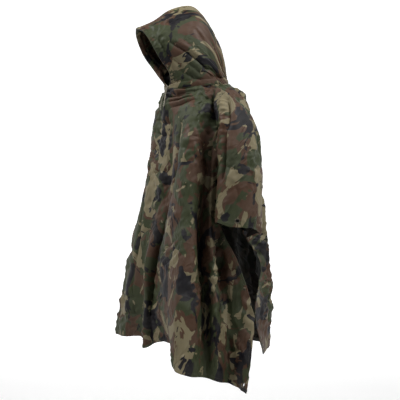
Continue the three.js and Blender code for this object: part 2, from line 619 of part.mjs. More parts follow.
CORD_ENDS.forEach(({ name, side, throat, chest }) => {
  const half = halves[side > 0 ? 0 : 1];
  const inTunnel = [1.5, 1].map((up) => tunnelPoint(half, up));
  const across = throat.map((point) => new THREE.Vector3(...point));
  const lying = chest.map(([down, out, above]) => {
    const normal = frontNormals[Math.round(down)][middleColumn];
    return sheetPoint(frontRows, down, middleColumn + out).addScaledVector(normal, above);
  });
  const route = smoothCurve([...inTunnel, ...across, ...lying]);
  const ring = new THREE.Shape().absarc(0, 0, CORD.radius, 0, 2 * Math.PI);
  const tube = new THREE.ExtrudeGeometry(ring, {
    steps: CORD.steps, curveSegments: CORD.sides / 2, bevelEnabled: false, extrudePath: route,
  });
  addPiece(`drawcord_${name}`, tube, clothMaterial(COLOURS.cord));
  const tangent = route.getTangent(1);
  const knotCentre = route.getPoint(1).addScaledVector(tangent, CORD.knotLength / 2 + SEAM_GAP);
  setAt(addPiece(`cord_knot_${name}`, cordKnotGeometry(), clothMaterial(COLOURS.cord)),
    { point: knotCentre, normal: tangent });
});

export default poncho;
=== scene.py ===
"""A hooded rain poncho of thin coated cloth, in woodland camouflage, as it hangs when it is worn.

The front faces -Y and the wearer's left side is +X. All places in the tables are in millimetres.
"""

import json
import math

import bmesh
import bpy
import numpy as np
from bpy.props import FloatProperty, FloatVectorProperty, PointerProperty
from mathutils import Matrix, Vector, noise
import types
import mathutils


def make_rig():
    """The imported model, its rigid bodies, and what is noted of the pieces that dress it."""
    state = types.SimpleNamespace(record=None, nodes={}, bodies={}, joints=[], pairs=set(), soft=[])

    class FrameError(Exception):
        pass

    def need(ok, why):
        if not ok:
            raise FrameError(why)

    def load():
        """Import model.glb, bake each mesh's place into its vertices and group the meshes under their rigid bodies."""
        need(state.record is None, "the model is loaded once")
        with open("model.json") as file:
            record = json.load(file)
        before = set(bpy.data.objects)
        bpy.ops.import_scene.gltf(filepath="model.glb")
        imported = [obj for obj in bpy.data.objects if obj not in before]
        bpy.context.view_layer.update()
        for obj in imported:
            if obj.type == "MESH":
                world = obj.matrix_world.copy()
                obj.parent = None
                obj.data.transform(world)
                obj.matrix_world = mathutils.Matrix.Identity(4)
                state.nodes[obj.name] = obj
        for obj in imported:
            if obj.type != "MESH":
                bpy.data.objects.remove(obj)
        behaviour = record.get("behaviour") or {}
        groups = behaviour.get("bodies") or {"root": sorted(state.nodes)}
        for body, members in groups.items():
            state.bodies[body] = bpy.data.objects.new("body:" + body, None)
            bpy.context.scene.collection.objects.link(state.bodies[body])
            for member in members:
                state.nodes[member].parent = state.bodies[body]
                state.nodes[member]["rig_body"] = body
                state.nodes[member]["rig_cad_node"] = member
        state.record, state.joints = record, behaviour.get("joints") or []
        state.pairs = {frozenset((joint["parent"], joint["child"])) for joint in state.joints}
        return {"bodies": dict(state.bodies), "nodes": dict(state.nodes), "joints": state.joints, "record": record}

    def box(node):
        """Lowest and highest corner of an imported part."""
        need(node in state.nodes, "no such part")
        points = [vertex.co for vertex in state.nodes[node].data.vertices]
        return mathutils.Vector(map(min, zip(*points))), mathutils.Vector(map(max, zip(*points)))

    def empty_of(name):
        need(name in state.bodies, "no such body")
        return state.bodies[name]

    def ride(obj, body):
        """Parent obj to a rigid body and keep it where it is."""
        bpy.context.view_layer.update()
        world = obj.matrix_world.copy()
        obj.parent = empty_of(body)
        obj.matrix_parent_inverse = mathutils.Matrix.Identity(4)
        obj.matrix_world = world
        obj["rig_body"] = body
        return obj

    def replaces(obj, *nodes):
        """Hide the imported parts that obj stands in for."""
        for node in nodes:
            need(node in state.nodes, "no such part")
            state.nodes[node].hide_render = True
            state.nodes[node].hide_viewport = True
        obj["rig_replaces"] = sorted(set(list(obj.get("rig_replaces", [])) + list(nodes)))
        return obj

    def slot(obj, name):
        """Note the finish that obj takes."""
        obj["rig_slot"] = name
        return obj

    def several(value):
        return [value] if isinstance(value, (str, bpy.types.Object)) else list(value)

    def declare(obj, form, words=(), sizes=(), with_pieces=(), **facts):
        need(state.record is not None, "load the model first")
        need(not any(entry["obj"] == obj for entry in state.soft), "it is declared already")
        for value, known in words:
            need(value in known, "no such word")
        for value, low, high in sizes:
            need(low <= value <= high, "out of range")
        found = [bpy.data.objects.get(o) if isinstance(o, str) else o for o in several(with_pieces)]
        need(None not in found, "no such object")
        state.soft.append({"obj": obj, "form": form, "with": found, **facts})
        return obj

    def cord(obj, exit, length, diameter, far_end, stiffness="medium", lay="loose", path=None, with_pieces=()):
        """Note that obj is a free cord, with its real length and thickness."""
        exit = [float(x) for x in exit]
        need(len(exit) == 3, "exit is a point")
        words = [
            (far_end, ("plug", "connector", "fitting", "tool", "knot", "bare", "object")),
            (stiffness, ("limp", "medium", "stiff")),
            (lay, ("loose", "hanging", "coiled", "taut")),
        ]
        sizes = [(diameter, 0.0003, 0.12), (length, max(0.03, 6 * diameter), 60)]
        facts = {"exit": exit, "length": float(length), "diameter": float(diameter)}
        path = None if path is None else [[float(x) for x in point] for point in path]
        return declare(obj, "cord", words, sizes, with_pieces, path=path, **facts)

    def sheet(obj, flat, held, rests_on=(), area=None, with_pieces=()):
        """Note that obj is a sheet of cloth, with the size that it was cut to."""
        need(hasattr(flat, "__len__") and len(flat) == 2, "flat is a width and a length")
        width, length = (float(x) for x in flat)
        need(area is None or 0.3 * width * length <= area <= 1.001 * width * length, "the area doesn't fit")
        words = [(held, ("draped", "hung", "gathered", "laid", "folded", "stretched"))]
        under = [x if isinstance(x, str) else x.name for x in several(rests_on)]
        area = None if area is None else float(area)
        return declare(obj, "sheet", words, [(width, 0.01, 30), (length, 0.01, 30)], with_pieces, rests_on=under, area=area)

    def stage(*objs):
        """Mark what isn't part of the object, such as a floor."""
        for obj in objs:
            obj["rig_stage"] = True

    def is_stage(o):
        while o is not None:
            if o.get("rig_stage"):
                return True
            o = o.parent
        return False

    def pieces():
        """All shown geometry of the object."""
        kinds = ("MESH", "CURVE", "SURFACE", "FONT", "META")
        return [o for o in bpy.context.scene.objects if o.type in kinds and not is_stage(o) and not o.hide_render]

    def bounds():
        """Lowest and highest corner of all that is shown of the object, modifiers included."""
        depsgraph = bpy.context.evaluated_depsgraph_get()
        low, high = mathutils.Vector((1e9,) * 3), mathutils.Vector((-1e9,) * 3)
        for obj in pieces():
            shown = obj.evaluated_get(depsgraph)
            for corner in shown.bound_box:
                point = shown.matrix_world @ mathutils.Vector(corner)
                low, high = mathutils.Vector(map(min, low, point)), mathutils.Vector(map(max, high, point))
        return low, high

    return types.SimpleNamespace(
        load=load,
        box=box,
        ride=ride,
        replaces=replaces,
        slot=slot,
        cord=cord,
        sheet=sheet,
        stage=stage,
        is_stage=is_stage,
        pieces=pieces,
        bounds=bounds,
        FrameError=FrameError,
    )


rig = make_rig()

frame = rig.load()
CAD_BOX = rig.bounds()

bl_info = {
    "name": "Rain Poncho",
    "version": (1, 0, 0),
    "blender": (4, 5, 0),
    "location": "View3D > Sidebar > Rain Poncho",
    "description": "Builds a hooded rain poncho of coated camouflage cloth as it is worn",
    "category": "Add Mesh",
}

MM = 0.001

# The hung cloth, repeated from the part's own folds

# Each row is one fold of a panel, and each column is where that fold lies at one height.
# angle is degrees round the neck opening, and out is a distance along the shoulder line.
# Two numbers are x and y at the column's own height, and three are x, y and z.

HEIGHTS = dict(chest=-170, waist=-310, elbow=-500, thigh=-650, knee=-820)
LEVELS = ("top", "yoke", "chest", "waist", "elbow", "thigh", "knee", "hem")
ELBOW = LEVELS.index("elbow")
NECK = dict(half_width=98, to_front=127, to_back=122, middle=13, slope=13, sewn_out=2)
SHOULDER = dict(end_x=242, end_z=-46, arch=5)

LEFT_FRONT = [
    dict(fold="middle", angle=0, yoke=(0, -146, -58), chest=(0, -140), waist=(0, -153),
         elbow=(-4, -172), thigh=(-15, -206), knee=(-22, -212), hem=(-30, -211, -975), steps=2),
    dict(fold="front valley", angle=24, yoke=(42, -138, -58), chest=(50, -128), waist=(50, -133),
         elbow=(36, -158), thigh=(18, -184), knee=(8, -195), hem=(22, -184, -950), steps=2),
    dict(fold="front swell", angle=48, yoke=(88, -116, -58), chest=(108, -146), waist=(108, -160),
         elbow=(108, -184), thigh=(108, -204), knee=(112, -212), hem=(118, -178, -943), steps=2),
    dict(fold="bell ridge", angle=72, yoke=(132, -88, -58), chest=(165, -140), waist=(182, -162),
         elbow=(205, -186), thigh=(235, -206), knee=(270, -236), hem=(306, -266, -1003), steps=2),
    dict(fold="bell back", out=100, yoke=(152, -62, -60), chest=(188, -112), waist=(204, -126),
         elbow=(228, -146), thigh=(262, -162), knee=(302, -182), hem=(346, -226, -1020), steps=3),
    dict(fold="deep valley", out=140, yoke=(172, -38, -62), chest=(190, -56), waist=(175, -50),
         elbow=(155, -78), thigh=(178, -94), knee=(244, -104), hem=(328, -158, -1032), steps=3),
    dict(fold="side ridge", out=166, yoke=(192, -36, -68), chest=(205, -47), waist=(204, -52),
         elbow=(222, -72), thigh=(272, -86), knee=(332, -112), hem=(366, -126, -1044), steps=2),
    dict(fold="side recess", out=186, yoke=(205, -33, -72), chest=(215, -39), waist=(203, -34),
         elbow=(196, -40), thigh=(205, -40), knee=(284, -44), hem=(340, -64, -1060), steps=3),
    dict(fold="side edge", out=200, yoke=(217, -30, -76), chest=(223, -35), waist=(210, -24),
         elbow=(205, -16, -512), thigh=(295, 2), knee=(376, 10), hem=(450, -66, -1076), steps=3),
    dict(fold="sleeve front", out=216, yoke=(237, -30, -80), chest=(246, -49), waist=(253, -56),
         elbow=(258, -73, -500), steps=2),
    dict(fold="sleeve side", out=230, yoke=(256, -18, -86), chest=(286, -34), waist=(304, -42),
         elbow=(310, -48, -512), steps=2),
    dict(fold="arm line", out=242, yoke=(270, 0, -92), chest=(300, 0), waist=(322, 0),
         elbow=(330, 0, -518), steps=0),
]

RIGHT_FRONT = [
    dict(fold="front valley", angle=24, yoke=(-44, -140, -56), chest=(-56, -136), waist=(-58, -150),
         elbow=(-66, -166), thigh=(-72, -186), knee=(-80, -190), hem=(-84, -194, -942), steps=2),
    dict(fold="front swell", angle=48, yoke=(-88, -126, -56), chest=(-114, -134), waist=(-112, -152),
         elbow=(-122, -184), thigh=(-134, -209), knee=(-144, -225), hem=(-155, -227, -948), steps=2),
    dict(fold="bell ridge", angle=72, yoke=(-132, -92, -58), chest=(-160, -112), waist=(-164, -128),
         elbow=(-182, -161), thigh=(-204, -187), knee=(-228, -209), hem=(-254, -221, -950), steps=2),
    dict(fold="bell back", out=100, yoke=(-152, -64, -60), chest=(-182, -86), waist=(-184, -96),
         elbow=(-196, -116), thigh=(-228, -134), knee=(-262, -150), hem=(-296, -168, -954), steps=3),
    dict(fold="deep valley", out=140, yoke=(-172, -40, -62), chest=(-188, -54), waist=(-172, -54),
         elbow=(-158, -76), thigh=(-176, -98), knee=(-226, -116), hem=(-270, -134, -956), steps=3),
    dict(fold="side ridge", out=166, yoke=(-192, -36, -68), chest=(-206, -46), waist=(-206, -52),
         elbow=(-220, -72), thigh=(-266, -94), knee=(-318, -118), hem=(-352, -142, -962), steps=2),
    dict(fold="side recess", out=186, yoke=(-205, -33, -72), chest=(-215, -39), waist=(-204, -36),
         elbow=(-194, -44), thigh=(-214, -46), knee=(-286, -60), hem=(-338, -80, -972), steps=3),
    dict(fold="side edge", out=200, yoke=(-217, -30, -76), chest=(-223, -35), waist=(-212, -24),
         elbow=(-206, -18, -510), thigh=(-290, -6), knee=(-366, -6), hem=(-428, -44, -990), steps=3),
    dict(fold="sleeve front", out=216, yoke=(-237, -30, -80), chest=(-247, -46), waist=(-256, -52),
         elbow=(-262, -66, -502), steps=2),
    dict(fold="sleeve side", out=230, yoke=(-256, -18, -86), chest=(-288, -32), waist=(-306, -38),
         elbow=(-314, -44, -514), steps=2),
    dict(fold="arm line", out=242, yoke=(-270, 0, -92), chest=(-301, 0), waist=(-324, 0),
         elbow=(-334, 0, -520), steps=0),
]

LEFT_BACK = [
    dict(fold="middle", angle=180, yoke=(0, 137, -30), chest=(0, 134), waist=(0, 150),
         elbow=(0, 166), thigh=(0, 178), knee=(2, 186), hem=(0, 192, -965), steps=2),
    dict(fold="back valley", angle=152, yoke=(76, 129, -22), chest=(94, 126), waist=(96, 134),
         elbow=(92, 140), thigh=(92, 146), knee=(104, 156), hem=(110, 162, -955), steps=3),
    dict(fold="back ridge", angle=124, yoke=(151, 117, -14), chest=(178, 143), waist=(188, 166),
         elbow=(198, 184), thigh=(208, 194), knee=(221, 198), hem=(211, 186, -958), steps=3),
    dict(fold="side valley", out=106, yoke=(186, 89, -44), chest=(208, 102), waist=(196, 106),
         elbow=(190, 112), thigh=(226, 122), knee=(280, 124), hem=(296, 116, -968), steps=3),
    dict(fold="side edge", out=168, yoke=(212, 66, -72), chest=(226, 84), waist=(216, 74),
         elbow=(206, 72, -524), thigh=(280, 104), knee=(336, 44), hem=(352, 68, -968), steps=3),
    dict(fold="sleeve back", out=208, yoke=(240, 74, -88), chest=(257, 110), waist=(268, 118),
         elbow=(270, 112, -545), steps=3),
    dict(fold="sleeve side", out=228, yoke=(262, 26, -86), chest=(290, 60), waist=(314, 66),
         elbow=(321, 60, -530), steps=2),
    dict(fold="arm line", out=242, yoke=(270, 0, -92), chest=(300, 0), waist=(322, 0),
         elbow=(330, 0, -518), steps=0),
]

RIGHT_BACK = [
    dict(fold="back valley", angle=152, yoke=(-76, 128, -22), chest=(-84, 122), waist=(-86, 134),
         elbow=(-80, 142), thigh=(-74, 150), knee=(-84, 158), hem=(-96, 160, -962), steps=3),
    dict(fold="back ridge", angle=124, yoke=(-149, 113, -16), chest=(-172, 134), waist=(-180, 156),
         elbow=(-176, 178), thigh=(-180, 196), knee=(-192, 208), hem=(-206, 212, -972), steps=3),
    dict(fold="side valley", out=106, yoke=(-184, 85, -44), chest=(-206, 92), waist=(-196, 100),
         elbow=(-194, 110), thigh=(-220, 118), knee=(-262, 128), hem=(-288, 136, -966), steps=3),
    dict(fold="side edge", out=168, yoke=(-211, 62, -72), chest=(-226, 80), waist=(-216, 72),
         elbow=(-208, 70, -522), thigh=(-278, 92), knee=(-342, 86), hem=(-388, 100, -985), steps=3),
    dict(fold="sleeve back", out=208, yoke=(-240, 70, -88), chest=(-258, 100), waist=(-270, 110),
         elbow=(-274, 106, -540), steps=3),
    dict(fold="sleeve side", out=228, yoke=(-262, 26, -86), chest=(-291, 56), waist=(-315, 62),
         elbow=(-324, 58, -528), steps=2),
    dict(fold="arm line", out=242, yoke=(-270, 0, -92), chest=(-301, 0), waist=(-324, 0),
         elbow=(-334, 0, -520), steps=0),
]

# Each row is one hoop of the hood's left half, from the rim to the nape.
# base is an angle round the neck opening. The others are half width, reach forward and height.

HOOD_HOOPS = [
    dict(hoop="rim", base=5, low=(62, 142, 62), wide=(86, 190, 138),
         high=(62, 224, 203), seam=(0, 241, 226)),
    dict(hoop="brow", base=34, low=(92, 106, 84), wide=(108, 144, 158),
         high=(78, 164, 234), seam=(0, 174, 258)),
    dict(hoop="temple", base=62, low=(112, 56, 88), wide=(120, 78, 166),
         high=(86, 92, 258), seam=(0, 104, 306)),
    dict(hoop="ear", base=90, low=(116, 4, 88), wide=(120, 14, 166),
         high=(86, 18, 266), seam=(0, 20, 323)),
    dict(hoop="crown", base=116, low=(106, -40, 82), wide=(108, -38, 152),
         high=(74, -30, 236), seam=(0, -27, 284)),
    dict(hoop="back", base=140, low=(84, -80, 72), wide=(82, -76, 124),
         high=(54, -68, 184), seam=(0, -62, 206)),
    dict(hoop="nape", base=160, low=(46, -107, 54), wide=(42, -99, 82),
         high=(24, -98, 112), seam=(0, -90, 120)),
    dict(hoop="collar", base=174, low=(10, -124, 38), wide=(9, -124, 44),
         high=(5, -122, 50), seam=(0, -120, 54)),
]

# The hood turns with the head: not at the neck, and fully from the jaw up.
HOOD = dict(turn=-13, turn_from=10, turn_to=110, sewn_above=2, seam_half_gap=0.1)
HOOP_PARTS = ("seam", "high", "wide", "low", "base")
NAPE_DRAWN = 0.035

# A point inside the panels and one inside the hood, in metres. The cloth's faces point away from it.
INSIDE_PANELS = (0, 0, -0.4)
INSIDE_HOOD = (0, 0, 0.14)

# Where the drawcord's two ends run: out of the rim's tunnel, over the throat and down the chest.

DRAWCORDS = {
    "left": [(39.3, -125.8, 37.4), (34.1, -122.8, 26.5), (7.5, -125.5, 9), (4.6, -131, 5.6),
             (4.2, -132.7, -1.4), (3.4, -135.4, -10.1), (5, -139.7, -23.1), (8.8, -144.2, -38.4),
             (10.6, -147.5, -51.5), (11.1, -149.9, -61.1)],
    "right": [(-49.7, -122, 37.4), (-38.1, -121.6, 26.5), (-7.5, -125.5, 9), (-4.6, -131, 5.6),
              (-4.2, -132.8, -1.3), (-6.3, -135.1, -9.9), (-10.6, -139.9, -24.6), (-13.5, -145.4, -44.1),
              (-14, -148.9, -57.1), (-14.2, -150.3, -70.7)],
}
CORD = dict(radius=1.5, steps=72)
KNOT = dict(radius=1.25, steps=64, width=1.15, depth=0.9, height=1.75, twist=1.15)

# Mesh cells: between two folds for each of a fold's own steps, and between two heights.

PANEL_CELLS = dict(across=5, down=30)
HOOD_CELLS = dict(along=14, down=18)
ELBOW_ROW = ELBOW * PANEL_CELLS["down"]

# Each half of a sleeve keeps to its own side of the arm line, by this many millimetres at least.
ARM_CLEAR = 0.05

# Laying the cloth flat: rounds of springs, springs from one height to the next, and how far each round goes.
SPRINGS = dict(rounds=1500, to_a_height=5, push=1.6)
# The print is evened out this far from the left arm line, and metres from an edge that count as far in.
PRINT_EVENED = 0.35
FAR_IN = 1.0
NEARLY_NOTHING = 1e-9
MERGED_WITHIN = 1e-6

# A crease's ends and flanks, and how a trough that is deep enough is pinched shut.
CREASE = dict(end=0.02, flank=1.5)
PINCH = dict(from_depth=3, over=14, most=0.8, reach=1.7)

# Each layer of crumples: metres from one to the next, height as a share, and how far it leans from upright.
CRUMPLES = [dict(wave=0.075, height=1.0, lean=0.35), dict(wave=0.034, height=0.72, lean=-0.75),
            dict(wave=0.019, height=0.50, lean=0.9)]
# How strong the crumples are in one place and another, and how their ridges bend.
CRUMPLED = dict(across=6, down=4.5, usual=0.5, spread=1.3, least=0.12, most=1.15)
RIDGES = dict(bends=14, bent=0.5, stretch=0.45, top=0.45, slope=2.2)

# Pleats below the neck band: two waves round the neck, and where they fade out.
GATHERS = dict(height=1.5, wave=0.031, wander=2.2, bends=37, lean=9, small=0.6, small_wave=0.019,
               down=(0.01, 0.075), out=(0.17, 0.24))

# Fittings, in millimetres, and how far the cloth is pressed level round them, in metres.
GROMMET = dict(hole=5.6, cloth_hole=8.2, flange=10.0, lip=2.0, grip=1.0, roll=0.9, waist=1.6, steps=40)
SNAP = dict(radius=6.5, height=3.2, stud=4.2, steps=28, socket_steps=24)
PRESSED = dict(within=0.04, level=0.002, fade=0.022)
CUT_WITHIN = 0.05

# Where creases and crumples begin, in metres from a seam, from the arm line and from the hood's edges.
HELD = dict(shoulder=(0.001, 0.010), arm=(0.002, 0.03), neck=(0.003, 0.02), crown=(0.001, 0.014),
            rim=(0.0, 0.02), nape=(0.001, 0.016), rim_share=0.25)
HOOD_CRUMPLED = 0.8

# The hem's cloth: how far it fades into the single cloth, in metres, and the single cloth's share of it.
HEM_FADE = 0.004
SINGLE_SHARE = 0.5
SHARP_ABOVE = math.radians(60)

# Where the hood and its casing lie on the printed cloth, in metres, clear of the panels.
HOOD_ON_CLOTH = (0.4, 2.0)
RIM_ON_CLOTH = (0.9, 1.0)
RIM_TURNED = 0.05

# Stitches, in metres: their length, the gap between two, their radius, and where they lie.
STITCH = dict(length=0.0028, gap=0.0012, radius=0.0003, in_from_hem=0.0015, above=0.0001, sides=5,
              shortest=0.6, longest=1.5)

# The casing's cross section: how wide and deep it is, and how far in from the rim and into the hood it lies.
RIM = dict(middle=9.5, half_width=11.0, sunk=-2.6, half_depth=3.8, cells=14, pucker=0.22, wave=0.016,
           wander=1.5, bends=41)
# The neck band's cross section, which stands further out at its foot.
BAND = dict(middle=6.5, half_height=12.0, outward=1.2, outward_foot=5.0, half_depth=1.7, cells=12,
            pucker=0.2, wave=0.017, wander=2, bends=23)


# Sizes and colours that a user may change

def colour(name, description, default):
    """A colour that a user may change."""
    return FloatVectorProperty(name=name, description=description, subtype="COLOR", default=default,
                               min=0.0, max=1.0)


class PonchoCloth(bpy.types.PropertyGroup):
    """The coated cloth, its folds and its print."""
    wall: FloatProperty(name="Thickness", description="Thickness of the coated cloth",
                        default=0.0012, min=0.0005, max=0.003, unit="LENGTH")
    hem: FloatProperty(name="Hem width", description="Width of the turned and sewn hem",
                       default=0.011, min=0.005, max=0.03, unit="LENGTH")
    crease: FloatProperty(name="Crease depth", description="Share of each crease's own depth",
                          default=1.0, min=0.0, max=1.5, subtype="FACTOR")
    crumple: FloatProperty(name="Crumple", description="Height of the small crumples all over",
                           default=0.0092, min=0.0, max=0.02, unit="LENGTH")
    sand: colour("Sand", "Palest colour of the print", (0.140, 0.118, 0.068))
    leaf: colour("Green", "Green of the print", (0.0275, 0.0335, 0.0145))
    bark: colour("Brown", "Brown of the print", (0.052, 0.0265, 0.0150))
    shade: colour("Black", "Near black of the print, slightly violet", (0.0045, 0.0040, 0.0062))


class PonchoFittings(bpy.types.PropertyGroup):
    """The metal fittings and the cord."""
    metal: colour("Grommets", "Blackened metal of the grommets", (0.050, 0.046, 0.040))
    snap: colour("Snaps", "Dark enamel of the snap caps", (0.045, 0.040, 0.028))
    cord: colour("Cord", "Colour of the drawcord", (0.33, 0.30, 0.24))


class PonchoStudio(bpy.types.PropertyGroup):
    """The camera, the lights and the floor."""
    distance: FloatProperty(name="Camera distance", description="From the camera to the garment's middle",
                            default=3.5, min=1.0, max=20.0, unit="LENGTH")
    azimuth: FloatProperty(name="Camera direction", description="Round from the garment's front to its left",
                           default=math.radians(60), subtype="ANGLE", unit="ROTATION")
    aim: FloatProperty(name="Aim height", description="Height of the camera and of the point it looks at",
                       default=-0.42, unit="LENGTH")
    width: FloatProperty(name="View width", description="Width of the view at the garment's middle",
                         default=1.538, min=0.2, max=10.0, unit="LENGTH")
    aside: FloatProperty(name="Aim aside", unit="LENGTH", default=0.0115,
                         description="How far right of the garment's middle the camera looks")
    floor: FloatProperty(name="Floor height", description="Height of the pale floor",
                         default=-1.5, unit="LENGTH")
    key: FloatProperty(name="Key light", unit="POWER", default=68.0, min=0.0,
                       description="Strength of the large light in front of the garment")
    fill: FloatProperty(name="Side light", unit="POWER", default=77.0, min=0.0,
                        description="Strength of the large light behind its left shoulder")
    ambient: FloatProperty(name="Ambient light", description="Strength of the even light from above",
                           default=0.05, min=0.0)
    backdrop: FloatProperty(name="Backdrop glow", description="How far the paper behind is lifted to white",
                            default=0.85, min=0.0)


# Smooth curves through a few places

def along_curve(places, shares, before=None, after=None):
    """Places at shares of the way along a smooth curve that passes through every given place.

    It leaves its ends straight on, or towards the places before and after it where they are given.
    """
    places = np.asarray(places, float)
    before = 2 * places[0] - places[1] if before is None else before
    after = 2 * places[-1] - places[-2] if after is None else after
    knots = np.vstack([[before], places, [after]])
    spans = len(places) - 1
    at = np.clip(np.asarray(shares, float) * spans, 0, spans)
    start = np.minimum(at.astype(int), spans - 1)
    w = (at - start)[:, None]
    p0, p1, p2, p3 = (knots[start + k] for k in range(4))
    t0, t1, t2 = (np.sqrt(np.linalg.norm(b - a, axis=1))[:, None]
                  for a, b in ((p0, p1), (p1, p2), (p2, p3)))
    leaving = ((p1 - p0) / t0 - (p2 - p0) / (t0 + t1) + (p2 - p1) / t1) * t1
    reaching = ((p2 - p1) / t1 - (p3 - p1) / (t1 + t2) + (p3 - p2) / t2) * t1
    return (p1 + leaving * w + (3 * (p2 - p1) - 2 * leaving - reaching) * w ** 2
            + (2 * (p1 - p2) + leaving + reaching) * w ** 3)


def smooth_step(value, low, high):
    """0 below low, 1 above high, and a smooth rise between them."""
    share = np.clip((np.asarray(value, float) - low) / (high - low), 0, 1)
    return share * share * (3 - 2 * share)


def neck_place(degrees, side, outward=0.0):
    """A place on the neck seam, by its angle from the front."""
    angle = math.radians(degrees)
    half_depth = (NECK["to_back"] + NECK["to_front"]) / 2
    return (side * (NECK["half_width"] + outward) * math.sin(angle),
            (NECK["to_back"] - NECK["to_front"]) / 2 - (half_depth + outward) * math.cos(angle),
            NECK["middle"] - NECK["slope"] * math.cos(angle))


NECK_SHIFT = (NECK["to_back"] - NECK["to_front"]) / (NECK["to_back"] + NECK["to_front"])
SHOULDER_ANGLE = math.degrees(math.acos(NECK_SHIFT))


def shoulder_place(out, side):
    """A place on the shoulder seam, by how far out it is."""
    start = neck_place(SHOULDER_ANGLE, 1, NECK["sewn_out"])[0]
    share = (out - start) / (SHOULDER["end_x"] - start)
    fall = share * (SHOULDER["end_z"] - NECK["middle"]) + SHOULDER["arch"] * math.sin(math.pi * share)
    return (side * out, 0.0, NECK["middle"] + fall)


def fold_place(fold, level, side):
    """Where a fold lies at one of the levels."""
    if level == "top":
        if "angle" in fold:
            return neck_place(fold["angle"], side, NECK["sewn_out"])
        return shoulder_place(fold["out"], side)
    place = fold[level]
    return place if len(place) == 3 else (*place, HEIGHTS[level])


def lengths_along(places, axis):
    """How far each place of a grid is along its row or its column."""
    steps = np.nan_to_num(np.linalg.norm(np.diff(places, axis=axis), axis=2))
    return np.insert(np.cumsum(steps, axis=axis), 0, 0, axis=axis)


def on_grid(values, row, column):
    """A value of a grid between its rows and columns."""
    j = min(int(row), values.shape[0] - 2)
    i = min(int(column), values.shape[1] - 2)
    v, u = row - j, column - i
    return ((1 - v) * ((1 - u) * values[j, i] + u * values[j, i + 1])
            + v * ((1 - u) * values[j + 1, i] + u * values[j + 1, i + 1]))


# The panels as grids of places

